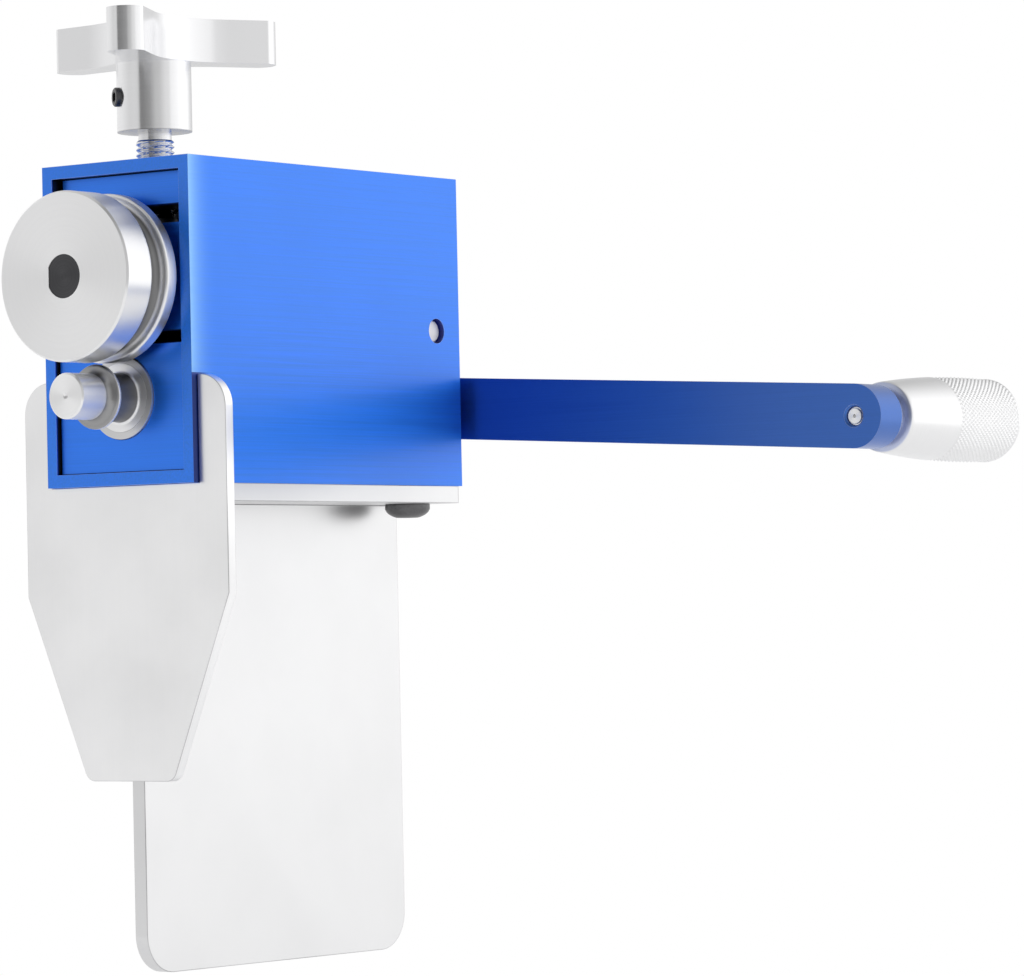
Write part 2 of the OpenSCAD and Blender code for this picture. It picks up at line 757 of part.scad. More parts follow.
// Outline of the knob's three arms with a round hollow between each pair.
module knob_outline() {
  half = knob_arm_w / 2;
  bite = 0.02;
  hollow_x = (half + knob_hollow_r) / sin(60);
  tangent = (half + knob_hollow_r) / tan(60);
  difference() {
    for (turn = [0, 120, 240]) rotate(turn) {
      translate([0, -half]) square([knob_reach - knob_tip_r, knob_arm_w]);
      translate([0, knob_tip_r - half]) square([knob_reach, knob_arm_w - 2 * knob_tip_r]);
      for (side = [-1, 1])
        translate([knob_reach - knob_tip_r, side * (half - knob_tip_r)]) circle(r = knob_tip_r);
      polygon([
        [0, 0], [tangent, half],
        [tangent * cos(120) + half * sin(120), tangent * sin(120) - half * cos(120)]
      ]);
    }
    for (turn = [60, 180, 300]) rotate(turn)
      translate([hollow_x, 0]) circle(r = knob_hollow_r + bite);
  }
}

// Starts a form at the stem's side, pointing out of the hub between two arms.
module at_knob_screw() {
  translate([0, screw_setback, hub_z + knob_screw_rise]) rotate(knob_turn - 60)
    translate([stem_r, 0, 0]) rotate([0, 90, 0]) children();
}

module tri_knob() {
  color(bright) placed() difference() {
    translate([0, screw_setback, hub_z]) {
      cylinder(r = hub_r, h = hub_h + eps);
      translate([0, 0, hub_h]) rotate(knob_turn) linear_extrude(knob_arm_h) knob_outline();
    }
    translate([0, screw_setback, hub_z - eps]) cylinder(r = stem_r, h = stem_grip + eps);
    at_knob_screw() translate([0, 0, -stem_r / 2]) cylinder(r = grub_r, h = hub_r);
  }
}

module knob_set_screw() {
  color(dark) placed() at_knob_screw() grub_screw(grub_r, hub_r - stem_r + knob_screw_proud);
}

// Round wire swept along a helix, with its middle line from one height to another.
function helix_ring(turn, low, high, sides) =
  let (a = 360 * turn, z = low + (high - low) * turn / spring_turns)
  [for (k = [0 : sides - 1])
    let (b = 360 * k / sides, r = spring_r + wire_r * cos(b))
    [r * cos(a), r * sin(a), z + wire_r * sin(b)]];

module spring(low, high) {
  sides = 6;
  rings = spring_turns * 10;
  points = [for (i = [0 : rings]) each helix_ring(i * spring_turns / rings, low, high, sides)];
  walls = [for (i = [0 : rings - 1], k = [0 : sides - 1])
    let (a = i * sides + k, b = i * sides + (k + 1) % sides)
    each [[a, a + sides, b], [b, a + sides, b + sides]]];
  start = [for (k = [1 : sides - 2]) [0, k, k + 1]];
  finish = [for (k = [1 : sides - 2]) [rings * sides, rings * sides + k + 1, rings * sides + k]];
  polyhedron(points = points, faces = concat(walls, start, finish));
}

module rocker_springs() {
  floor_z = lower_top_z - lower_pocket;
  roof_z = rocker_z + upper_pocket;
  echo(spring_gap = (roof_z - floor_z - 2 * wire_r) / spring_turns - 2 * wire_r);
  color(dark) placed() at_springs(0) spring(floor_z + wire_r, roof_z - wire_r);
}

// Puts a form at each base screw, from the base plate's underside upwards.
module at_base_screws() {
  for (y = base_screw_y, side = [-1, 1])
    translate([side * base_screw_x, y, -base_t]) children();
}

module base_plate() {
  r = base_corner_r;
  color(bright) placed() difference() {
    translate([0, 0, -base_t]) linear_extrude(base_t) {
      translate([-housing_w / 2, stop_back]) square([housing_w, housing_d - r - stop_back]);
      translate([r - housing_w / 2, housing_d - r - eps]) square([housing_w - 2 * r, r + eps]);
      for (side = [-1, 1])
        translate([side * (housing_w / 2 - r), housing_d - r]) circle(r = r);
    }
    at_base_screws() translate([0, 0, -eps]) cylinder(r = base_screw_r + screw_clearance, h = base_t + 2 * eps);
  }
}

module vise_plate() {
  r = plate_corner_r;
  len = housing_d - stop_back;
  color(bright) placed() translate([-plate_t / 2, stop_back, plate_z]) rotate([90, 0, 90]) linear_extrude(plate_t) {
    translate([0, r]) square([len, plate_drop - r]);
    translate([r, 0]) square([len - 2 * r, r + eps]);
    for (x = [r, len - r]) translate([x, r]) circle(r = r);
  }
}

// Outline of the tube stop, seen from the front, with the tube's underside at zero height.
module stop_outline() {
  half = housing_w / 2 + stop_arm_w;
  cut = housing_w / 2 + stop_clearance;
  r = min(stop_shoulder_r, half - cut - stop_clearance);
  tip = stop_tip_w / 2;
  slope = atan2(stop_drop - stop_side_drop, half - tip);
  tip_run = stop_tip_r * tan(slope / 2);
  side_end = [tip + tip_run * cos(slope), tip_run * sin(slope) - stop_drop];
  difference() {
    union() {
      polygon([
        [-half, stop_arm_rise - r], [-half, -stop_side_drop], [-side_end.x, side_end.y],
        [tip_run - tip, -stop_drop], [tip - tip_run, -stop_drop], side_end,
        [half, -stop_side_drop], [half, stop_arm_rise - r]
      ]);
      translate([r - half, 0]) square([2 * (half - r), stop_arm_rise]);
      for (side = [-1, 1]) {
        translate([side * (half - r), stop_arm_rise - r]) circle(r = r);
        translate([side * (tip - tip_run), stop_tip_r - stop_drop]) circle(r = stop_tip_r);
      }
    }
    translate([-cut, 0]) square([2 * cut, stop_arm_rise + eps]);
  }
}

module tube_stop() {
  color(bright) placed() translate([0, stop_back, 0]) rotate([90, 0, 0]) linear_extrude(stop_t) stop_outline();
}

module base_screws() {
  color(dark) placed() at_base_screws()
    button_screw(base_screw_r, base_head_r, base_head_h, base_t + housing_wall + base_screw_bite);
}

module top_block_screws() {
  socket_r = top_screw_r * 0.6;
  color(dark) placed() at_top_screws() difference() {
    top_screw_form();
    translate([0, 0, -top_screw_r]) cylinder(r = socket_r, h = top_screw_r + eps, $fn = 6);
  }
}

housing_tube();
top_block();
rocker_block();
lower_block();
pivot_pin();
upper_die();
upper_shaft();
upper_front_bush();
upper_rear_bush();
upper_retaining_ring();
upper_die_set_screw();
drive_shaft();
drive_front_bush();
drive_rear_bush();
crank_arm();
crank_spacer();
crank_set_screw();
grip();
grip_spindle();
grip_washer();
pressure_screw();
pressure_pad();
tri_knob();
knob_set_screw();
rocker_springs();
base_plate();
vise_plate();
tube_stop();
base_screws();
top_block_screws();
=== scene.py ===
"""Looks of a hand-cranked tube beader that stands in a bench vise.

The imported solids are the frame. This script gives each one its finish, rounds the edges of
the sawn and milled pieces, cuts the knurl and the thread, and sets up a plain studio.
Lengths are in millimetres in the assemblies, and in metres in the finishes and the studio.
"""

import logging
import math
from collections.abc import Callable
from dataclasses import dataclass, field
from enum import Enum

import bmesh
import bpy
from mathutils import Matrix, Vector


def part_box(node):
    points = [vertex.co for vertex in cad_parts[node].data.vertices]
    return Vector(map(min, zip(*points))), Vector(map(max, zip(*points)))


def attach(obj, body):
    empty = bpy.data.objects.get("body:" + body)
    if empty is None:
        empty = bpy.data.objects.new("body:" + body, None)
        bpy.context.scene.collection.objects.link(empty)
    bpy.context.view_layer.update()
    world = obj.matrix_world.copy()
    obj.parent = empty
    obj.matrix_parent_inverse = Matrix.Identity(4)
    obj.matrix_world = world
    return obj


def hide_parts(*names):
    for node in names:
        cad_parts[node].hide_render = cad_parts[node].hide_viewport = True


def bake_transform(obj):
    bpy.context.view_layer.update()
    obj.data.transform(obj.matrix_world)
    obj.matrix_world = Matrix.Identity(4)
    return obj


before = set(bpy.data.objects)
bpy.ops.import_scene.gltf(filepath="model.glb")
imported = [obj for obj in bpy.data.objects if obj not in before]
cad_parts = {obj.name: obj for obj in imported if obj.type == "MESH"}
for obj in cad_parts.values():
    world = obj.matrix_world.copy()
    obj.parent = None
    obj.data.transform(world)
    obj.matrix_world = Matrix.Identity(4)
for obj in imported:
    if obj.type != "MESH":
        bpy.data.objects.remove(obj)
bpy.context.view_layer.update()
LOG = logging.getLogger("tube_beader")
MM = 0.001
EDGE = "edge"

# Widths of the broken edges of turned pieces, in millimetres
HAIR, NICK, BREAK, CHAMFER = 0.1, 0.2, 0.3, 0.4

# Sides of a socket, and faces round small and large turned pieces
SOCKET_SIDES, COARSE, FINE = 6, 48, 96

# Rings of faces to one pitch of a knurl or a thread
PITCH_RINGS = 10

# The housing's box, and its front lower middle, which places are measured from, in metres
LOW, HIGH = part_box("housing_tube")
CORNER = ((LOW[0] + HIGH[0]) / 2.0, LOW[1], LOW[2])

Rgb = tuple[float, float, float]
Span = tuple[float, float]
Point = tuple[float, float, float]
Zone = tuple[float, float, float]
Profile = list[tuple[float, ...]]
Shaper = Callable[[bmesh.types.BMesh], None]
Material = bpy.types.Material
Node = bpy.types.Node
Piece = bpy.types.Object
Socket = bpy.types.NodeSocket


class Slot(Enum):
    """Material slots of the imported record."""

    BLUE = "blue_anodised"
    SATIN = "satin_aluminium"
    STEEL = "polished_steel"
    PLATE = "stainless_plate"
    BLACK = "black_steel"
    SPRING = "spring_steel"


class Body(Enum):
    """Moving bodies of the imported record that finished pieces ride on."""

    FRAME = "frame"
    ROCKER = "rocker"
    CRANK = "crank"
    HANDLE = "handle"
    SCREW = "screw"


class Axis(Enum):
    """Axis that a piece is turned about, or that its grain runs along."""

    X = 0
    Y = 1
    Z = 2


def at(x: float, y: float, z: float) -> Vector:
    """Carries a point, in millimetres from the corner, to the frame in metres."""
    return Vector([start + part * MM for start, part in zip(CORNER, (x, y, z))])


def ends(node: str, axis: Axis) -> Span:
    """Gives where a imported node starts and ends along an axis, in millimetres from the corner."""
    low, high = ((spot[axis.value] - CORNER[axis.value]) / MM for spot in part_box(node))
    return low, high


def middle(node: str, axis: Axis) -> float:
    """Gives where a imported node's middle lies along an axis, in millimetres from the corner."""
    return sum(ends(node, axis)) / 2.0


# Axes of the two rolls, the pressure screw, the grip and the pivot pin
UPPER_Z, LOWER_Z = middle("upper_die", Axis.Z), middle("drive_shaft", Axis.Z)
SCREW_Y = middle("pressure_screw", Axis.Y)
GRIP_X, GRIP_Z = middle("grip_spindle", Axis.X), middle("grip_spindle", Axis.Z)
PIVOT_Y, PIVOT_Z = middle("pivot_pin", Axis.Y), middle("pivot_pin", Axis.Z)


def opaque(colour: tuple[float, ...]) -> tuple[float, ...]:
    """Adds full opacity to a colour."""
    return (*colour, 1.0)


class NodePen:
    """Adds and links the nodes of one tree."""

    def __init__(self, tree: bpy.types.NodeTree) -> None:
        """Keeps the tree that the pen writes to."""
        self.tree = tree

    def feed(self, socket: Socket, value: object) -> None:
        """Links an output to a socket, or sets the socket to a plain value.

        Args:
            socket: Input to feed.
            value: Output of another node, or a plain value.
        """
        if isinstance(value, Socket):
            self.tree.links.new(value, socket)
        else:
            socket.default_value = value

    def fill(self, node: Node, inputs: dict[str | int, object]) -> None:
        """Feeds several inputs of a node, by name or number."""
        for key, value in inputs.items():
            self.feed(node.inputs[key], value)

    def add(self, kind: str, inputs: dict[str | int, object] | None = None, **settings: object) -> Node:
        """Adds a node.

        Args:
            kind: Blender's name of the node type.
            inputs: What to feed to its inputs, by name or number.
            **settings: Properties of the node to set.

        Returns:
            The new node.
        """
        node = self.tree.nodes.new(kind)
        for name, value in settings.items():
            setattr(node, name, value)
        self.fill(node, inputs or {})
        return node

    def math(self, operation: str, *values: object) -> Socket:
        """Adds a Math node for one or two sockets or numbers, and gives its result."""
        return self.add("ShaderNodeMath", dict(enumerate(values)), operation=operation).outputs[0]

    def product(self, first: object, *others: object) -> Socket:
        """Multiplies two or more sockets or numbers.

        Args:
            first: The first factor.
            *others: The other factors.

        Returns:
            The product's socket.
        """
        for other in others:
            first = self.math("MULTIPLY", first, other)
        return first

    def reach(self, first: Socket, second: Socket) -> Socket:
        """Gives the length of two numbers at right angles."""
        squares = [self.math("MULTIPLY", part, part) for part in (first, second)]
        return self.math("SQRT", self.math("ADD", *squares))

    def vector(self, operation: str, *values: object) -> Node:
        """Adds a Vector Math node, which gives a value or a vector."""
        return self.add("ShaderNodeVectorMath", dict(enumerate(values)), operation=operation)

    def split(self, vector: Socket) -> list[Socket]:
        """Splits a vector into its three numbers."""
        return list(self.add("ShaderNodeSeparateXYZ", {0: vector}).outputs)

    def place(self) -> Socket:
        """Gives the place on the piece, in metres."""
        return self.add("ShaderNodeTexCoord").outputs["Object"]

    def noise(self, place: Socket, scale: float, detail: float, roughness: float = 0.5) -> Socket:
        """Gives a noise from 0 to 1, with scale features to a unit and detail layers of finer ones."""
        inputs = {"Vector": place, "Scale": scale, "Detail": detail, "Roughness": roughness}
        return self.add("ShaderNodeTexNoise", inputs).outputs[0]

    def spread(self, value: Socket, low: float, high: float, to_low: float, to_high: float) -> Socket:
        """Maps a value between low and high to between to_low and to_high, and holds it there."""
        inputs = dict(enumerate((value, low, high, to_low, to_high)))
        return self.add("ShaderNodeMapRange", inputs, clamp=True).outputs[0]

    def blend(self, share: object, first: object, second: object) -> Socket:
        """Mixes two colours, each a socket or four numbers, the second by its share."""
        inputs = {0: share, 6: first, 7: second}
        return self.add("ShaderNodeMix", inputs, data_type="RGBA", clamp_factor=True).outputs[2]

    def mix(self, share: Socket, first: Node, second: Node) -> Node:
        """Mixes two shaders, the second by its share."""
        return self.add("ShaderNodeMixShader", {0: share, 1: first.outputs[0], 2: second.outputs[0]})


@dataclass(frozen=True)
class MetalFinish:
    """What every metal finish has: colour, gloss, fine marks, and toned edges: lighter with use, darker with
    painted shade.
    """

    name: str
    colour: Rgb
    roughness: float = 0.3
    swing: float = 0.08  # how far the marks move the roughness
    tone: float = 0.12  # how far the marks darken the colour
    bump: float = 0.05  # strength of the marks' relief
    edge_wear_and_shade: float = 0.25  # how much lighter the edges are with use, or darker below nought as painted shade
    coat: float = 0.0  # weight of the clear layer on top
    coat_roughness: float = 0.25
    streak: float = 1.0  # how much of the tone the marks show
    haze: float = 0.35  # how much of it the broad unevenness shows
    patches: float = 28.0  # uneven places to a metre
    patch_detail: float = 4.0  # layers of finer unevenness
    speckle: float = 900.0  # fine marks to a metre
    detail: float = 3.0  # layers of finer marks
    relief: float = 0.05 * MM  # height of the marks, in metres

    def marks(self, pen: NodePen) -> Socket:
        """Gives the pattern of fine marks, from 0 to 1."""
        return pen.noise(pen.place(), self.speckle, self.detail)

    def last(self, pen: NodePen, colour: Socket) -> Socket:
        """Lets a finish lay one more tone over its colour; plain metal has none."""
        return colour

    def smear(self, pen: NodePen, shader: Node) -> None:
        """Lets a finish draw its reflections out in one direction; plain metal doesn't."""

    def material(self) -> Material:
        """Builds the material.

        Returns:
            A material whose colour, roughness and relief come from the marks.
        """
        made = bpy.data.materials.new(self.name)
        made.use_nodes = True
        pen = NodePen(made.node_tree)
        marks, clouds = self.marks(pen), pen.noise(pen.place(), self.patches, self.patch_detail)
        shade = opaque(tuple(c * (1.0 - self.tone) for c in self.colour))
        light = opaque(tuple(c + (1.0 - c if self.edge_wear_and_shade > 0.0 else c) * self.edge_wear_and_shade for c in self.colour))
        line_range, patch_range = (0.3, 0.7), (0.35, 0.7)
        rub_range, gloss_range, least_rub = (0.3, 0.65), (0.25, 0.75), 0.25
        lines = pen.spread(marks, *line_range, 1.0 - self.streak, 1.0)
        streaked = pen.blend(lines, shade, opaque(self.colour))
        uneven = pen.blend(pen.spread(clouds, *patch_range, 0.0, self.haze), streaked, shade)
        corner = pen.add("ShaderNodeAttribute", attribute_name=EDGE).outputs["Fac"]
        # below nought the edge tone is painted shade and painted dark reflections on the edges
        tone_share = pen.product(corner, pen.spread(clouds, *rub_range, least_rub, 1.0))
        edge_toned = pen.blend(tone_share, uneven, light)
        low, high = self.roughness - self.swing, self.roughness + self.swing
        raised = pen.add("ShaderNodeBump", {"Strength": self.bump, "Distance": self.relief, "Height": marks})
        shader = made.node_tree.nodes["Principled BSDF"]
        pen.fill(shader, {
            "Base Color": self.last(pen, edge_toned), "Metallic": 1.0, "Normal": raised.outputs[0],
            "Roughness": pen.spread(marks, *gloss_range, low, high),
            "Coat Weight": self.coat, "Coat Roughness": self.coat_roughness,
        })
        self.smear(pen, shader)
        return made


@dataclass(frozen=True)
class BrushedFinish(MetalFinish):
    """Metal brushed along one axis."""

    grain: Axis = Axis.Y  # axis that the brushing runs along
    fine: float = 2600.0  # lines to a metre across the grain
    length: float = 18.0  # breaks to a metre along the grain
    grit: float = 0.6  # strength of the finer lines

    def marks(self, pen: NodePen) -> Socket:
        """Gives long thin lines along the grain.

        Args:
            pen: Pen of the material's tree.

        Returns:
            The pattern, from 0 to 1.
        """
        scale = [self.fine] * 3
        scale[self.grain.value] = self.length
        drawn_out = pen.add("ShaderNodeMapping", {"Vector": pen.place(), "Scale": scale})
        return pen.noise(drawn_out.outputs[0], 1.0, self.detail, self.grit)


@dataclass(frozen=True)
class RolledFinish(BrushedFinish):
    """Brushed metal with a painted highlight along its sides at the front end, a painted shadow below the
    tube stop, and painted shade inside the housing.
    """

    half: float = (HIGH[0] - LOW[0]) / 2.0  # half the housing's width
    rise: float = HIGH[2] - LOW[2]  # the housing's height
    face: float = 0.1 * MM  # depth that still counts as an outer face
    brink: float = 0.3 * MM  # depth at which the wall of a hole begins
    skin: float = 2.0 * MM  # depth at which the inside begins
    pale: Rgb = (0.3, 0.62, 1.0)  # colour of the painted highlight band
    run: float = 14.0 * MM  # length of the band
    share: float = 0.0  # how much of the band's colour shows at the end
    falloff: float = 3.0  # power by which it fades
    stop_z: float = (ends("tube_stop", Axis.Z)[1] + 0.5) * MM  # below here the band is a painted shadow of the tube stop
    shadow: Rgb = (0.004, 0.01, 0.2)  # colour of the painted shadow band
    shadow_fade: Span = (4.0 * MM, 8.0 * MM)  # where the dark band fades
    inside: Rgb = (0.025, 0.027, 0.045)  # colour of the painted shade inside the housing
    dusk: float = 4.5 * MM  # depth where the inside starts to darken, dark at 1.5 of it
    dawn: Span = (124.0 * MM, 128.0 * MM)  # where it fades toward the rear
    hole: Span = (PIVOT_Y * MM, PIVOT_Z * MM)  # the pivot pin's hole, behind and above the corner
    hole_r: float = 4.2 * MM  # radius that takes in the hole's wall
    sunk: Rgb = (0.012, 0.03, 0.3)  # colour of the painted shade on that wall

    def last(self, pen: NodePen, colour: Socket) -> Socket:
        """Lays the painted highlight and shadow bands over the outer sides, and painted shade inside and in
        the hole.

        Args:
            pen: Pen of the material's tree.
            colour: Colour so far.

        Returns:
            The colour with these tones.
        """
        across, along, up = pen.split(pen.vector("SUBTRACT", pen.place(), CORNER).outputs[0])
        off = pen.math("ABSOLUTE", across)
        for lay in (self.bands, self.depths, self.pin_hole):
            colour = lay(pen, colour, off, along, up)
        return colour

    def bands(self, pen: NodePen, colour: Socket, off: Socket, along: Socket, up: Socket) -> Socket:
        """Lays a painted highlight band on the outer sides above the tube stop, and a painted shadow band
        below.

        Args:
            pen: Pen of the material's tree.
            colour: Colour so far.
            off: Distance from the housing's middle to either side, in metres.
            along: Distance behind its front end.
            up: Height above its lower face.

        Returns:
            The colour with the bands.
        """
        # The pale band is a painted highlight; the dark band is a painted shadow of the tube stop.
        above = pen.math("GREATER_THAN", up, self.stop_z)
        outer = pen.math("GREATER_THAN", off, self.half - self.face)
        tone_share = pen.math("POWER", pen.spread(along, 0.0, self.run, 1.0, 0.0), self.falloff)
        pale = pen.product(tone_share, self.share, above)
        behind = pen.spread(along, *self.shadow_fade, self.share, 0.0)
        dark = pen.product(behind, pen.math("SUBTRACT", 1.0, above))
        tone = pen.blend(above, opaque(self.shadow), opaque(self.pale))
        return pen.blend(pen.product(pen.math("ADD", pale, dark), outer), colour, tone)

    def depths(self, pen: NodePen, colour: Socket, off: Socket, along: Socket, up: Socket) -> Socket:
        """Paints shade over what lies inside the housing.

        Args:
            pen: Pen of the material's tree.
            colour: Colour so far.
            off: Distance from the housing's middle to either side, in metres.
            along: Distance behind its front end.
            up: Height above its lower face.

        Returns:
            The colour with painted shade inside.
        """
        half_rise = self.rise / 2.0
        level = pen.math("ABSOLUTE", pen.math("SUBTRACT", up, half_rise))
        shares = (
            pen.spread(along, self.dusk, 1.5 * self.dusk, 0.0, 1.0),
            pen.spread(along, *self.dawn, 1.0, 0.0),
            pen.math("LESS_THAN", off, self.half - self.skin),
            pen.math("LESS_THAN", level, half_rise - self.skin),
        )
        # painted shade over the inside of the housing
        return pen.blend(pen.product(*shares), colour, opaque(self.inside))

    def pin_hole(self, pen: NodePen, colour: Socket, off: Socket, along: Socket, up: Socket) -> Socket:
        """Paints shade on the wall of the pivot pin's hole.

        Args:
            pen: Pen of the material's tree.
            colour: Colour so far.
            off: Distance from the housing's middle to either side, in metres.
            along: Distance behind its front end.
            up: Height above its lower face.

        Returns:
            The colour with a dark wall in the hole.
        """
        beside = [pen.math("SUBTRACT", part, spot) for part, spot in zip((along, up), self.hole)]
        near = pen.math("LESS_THAN", pen.reach(*beside), self.hole_r)
        deep = pen.math("LESS_THAN", off, self.half - self.brink)
        # painted shade on the wall of the pin's hole
        return pen.blend(pen.product(near, deep), colour, opaque(self.sunk))


@dataclass(frozen=True)
class TurnedFinish(MetalFinish):
    """Metal turned on a lathe: rings on its faces and round its sides."""

    axis: Axis = Axis.Y
    centre: Point = (0.0, 0.0, 0.0)  # a point on the axis, in metres
    rings: float = 2600.0  # rings to a metre
    ring_detail: float = 2.0
    pull: float = 0.7  # how far the rings draw reflections out
    painted_shade_zones: tuple[Zone, ...] = ()  # zones along the axis darkened with painted shade
    painted_shade_colour: Rgb = (0.02, 0.02, 0.022)  # colour of the painted shade in these zones
    blur: float = 0.4 * MM  # length over which a zone fades

    def last(self, pen: NodePen, colour: Socket) -> Socket:
        """Darkens the zones with painted shade.

        Args:
            pen: Pen of the material's tree.
            colour: Colour so far.

        Returns:
            The colour with dark zones.
        """
        along = pen.split(pen.place())[self.axis.value]
        for start, end, left in self.painted_shade_zones:
            spot, half = (start + end) / 2.0, (end - start) / 2.0
            off = pen.math("ABSOLUTE", pen.math("SUBTRACT", along, spot))
            share = pen.spread(off, half - self.blur, half, 1.0 - left, 0.0)
            colour = pen.blend(share, colour, opaque(self.painted_shade_colour))
        return colour

    def smear(self, pen: NodePen, shader: Node) -> None:
        """Draws reflections out across the rings.

        Args:
            pen: Pen of the material's tree.
            shader: Shader of the material.
        """
        tangent = pen.add("ShaderNodeTangent", direction_type="RADIAL", axis=self.axis.name).outputs[0]
        quarter = 0.25
        pen.fill(shader, {"Tangent": tangent, "Anisotropic": self.pull, "Anisotropic Rotation": quarter})

    def marks(self, pen: NodePen) -> Socket:
        """Gives fine rings about the axis.

        Args:
            pen: Pen of the material's tree.

        Returns:
            The pattern, from 0 to 1.
        """
        parts = pen.split(pen.vector("SUBTRACT", pen.place(), self.centre).outputs[0])
        along = parts.pop(self.axis.value)
        sweep = {i: pen.product(part, self.rings) for i, part in enumerate((pen.reach(*parts), along))}
        return pen.noise(pen.add("ShaderNodeCombineXYZ", sweep).outputs[0], 1.0, self.ring_detail)


@dataclass(frozen=True)
class OxideFinish(MetalFinish):
    """Blackened steel: a dark matt skin with a finer speckle."""

    speckle: float = 1800.0
    detail: float = 5.0


def bake(piece: Piece) -> None:
    """Turns the result of a piece's modifiers into its own plain mesh.

    Args:
        piece: Piece whose modifiers are all set.
    """
    graph = bpy.context.evaluated_depsgraph_get()
    graph.update()
    old = piece.data
    shaped = piece.evaluated_get(graph)
    mesh = bpy.data.meshes.new_from_object(shaped, preserve_all_data_layers=True, depsgraph=graph)
    piece.modifiers.clear()
    piece.data = mesh
    bpy.data.meshes.remove(old)


def smooth(mesh: bpy.types.Mesh, angle: float = 35.0) -> None:
    """Shades a mesh smooth, with edges sharp above an angle in degrees."""
    mesh.shade_smooth()
    mesh.set_sharp_from_angle(angle=math.radians(angle))


def dress(piece: Piece, finish: Material) -> None:
    """Gives a piece one material all over."""
    piece.data.materials.clear()
    piece.data.materials.append(finish)


def settle(name: str, work: bmesh.types.BMesh, finish: Material) -> Piece:
    """Puts a bmesh in the scene as a piece at the origin, and frees it.

    Args:
        name: Name of the piece.
        work: The bmesh, in the frame's metres.
        finish: Material of the piece.

    Returns:
        The piece.
    """
    mesh = bpy.data.meshes.new(name)
    work.to_mesh(mesh)
    work.free()
    piece = bpy.data.objects.new(name, mesh)
    bpy.context.scene.collection.objects.link(piece)
    dress(piece, finish)
    return piece


def finish_nodes(finish: Material, *nodes: str) -> None:
    """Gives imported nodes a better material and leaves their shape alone.

    Args:
        finish: The better material.
        *nodes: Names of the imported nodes.
    """
    for node in nodes:
        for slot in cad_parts[node].material_slots:
            slot.material = finish
        LOG.info("%s: packed shape, finish %s", node, finish.name)


def stand_for(piece: Piece, body: Body, node: str) -> None:
    """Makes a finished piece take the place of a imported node.

    Args:
        piece: The finished piece.
        body: Body that it moves with.
        node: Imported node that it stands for.
    """
    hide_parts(node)
    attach(piece, body.value)
    LOG.info("%s: %d faces, rides on %s", piece.name, len(piece.data.polygons), body.value)


def mark_edges(mesh: bpy.types.Mesh) -> None:
    """Notes the faces of the rounded edges in an attribute, for the wear on them.

    Args:
        mesh: Mesh whose rounded edges have the second material.
    """
    marks = [float(face.material_index == 1) for face in mesh.polygons]
    mesh.attributes.new(EDGE, "FLOAT", "FACE").data.foreach_set("value", marks)
    mesh.polygons.foreach_set("material_index", [0] * len(marks))


def round_off(
    node: str, edge: float, finish: Material, body: Body, shape: Shaper | None = None
) -> None:
    """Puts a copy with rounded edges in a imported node's place.

    Args:
        node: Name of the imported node.
        edge: Width of the rounding, in millimetres.
        finish: Material of the copy.
        body: Body that it moves with.
        shape: A last change to the copy before it is rounded.
    """
    same_spot, flat_below, sharp_above = 0.001 * MM, math.radians(0.2), math.radians(32.0)
    work = bmesh.new()
    work.from_mesh(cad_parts[node].data)
    bmesh.ops.remove_doubles(work, verts=work.verts, dist=same_spot)
    bmesh.ops.dissolve_limit(work, angle_limit=flat_below, verts=work.verts, edges=work.edges)
    if shape:
        shape(work)
    piece = settle(node + "_body", work, finish)
    piece.data.materials.append(finish)
    piece.data.shade_smooth()
    bevel = piece.modifiers.new("Rounded edges", "BEVEL")
    bevel.width = edge * MM
    bevel.segments = 2
    bevel.limit_method = "ANGLE"
    bevel.angle_limit = sharp_above
    bevel.material = 1
    weighted = piece.modifiers.new("Flat faces stay flat", "WEIGHTED_NORMAL")
    weighted.mode = "FACE_AREA"
    weighted.weight = 100
    bake(piece)
    mark_edges(piece.data)
    dress(piece, finish)
    stand_for(piece, body, node)


def flat_share(angle: float, sides: int) -> float:
    """Gives how far out a flat-sided outline lies at an angle, as a share of its corners."""
    half = math.pi / sides
    return math.cos(half) / math.cos(angle % (2.0 * half) - half)


def lathe(name: str, profile: Profile, place: Matrix, columns: int, finish: Material) -> Piece:
    """Turns a closed profile about an axis.

    Args:
        name: Name of the piece.
        profile: Points as distance along the axis and radius, in millimetres, as one closed loop
            or from pole to pole; a third number gives that ring flat sides.
        place: Carries the axis from local Z to its place, in metres.
        columns: Faces round the axis.
        finish: Material of the piece.

    Returns:
        The piece, at the origin.
    """
    work = bmesh.new()
    angles = [2.0 * math.pi * i / columns for i in range(columns)]
    rings: list[list[bmesh.types.BMVert]] = []
    for along, radius, *sides in profile:
        spots = angles if radius > 0.0 else [0.0]
        reach = [radius * (flat_share(a, sides[0]) if sides else 1.0) * MM for a in spots]
        rings.append([
            work.verts.new(place @ Vector((far * math.cos(a), far * math.sin(a), along * MM)))
            for a, far in zip(spots, reach)
        ])
    closed = profile[0][1] > 0.0
    pairs = list(zip(rings, rings[1:])) + ([(rings[-1], rings[0])] if closed else [])
    for low, high in pairs:
        for i in range(columns):
            j = (i + 1) % columns
            corners = [low[i % len(low)], low[j % len(low)], high[j % len(high)], high[i % len(high)]]
            work.faces.new(list(dict.fromkeys(corners)))
    bmesh.ops.recalc_face_normals(work, faces=work.faces)
    piece = settle(name, work, finish)
    smooth(piece.data)
    return piece


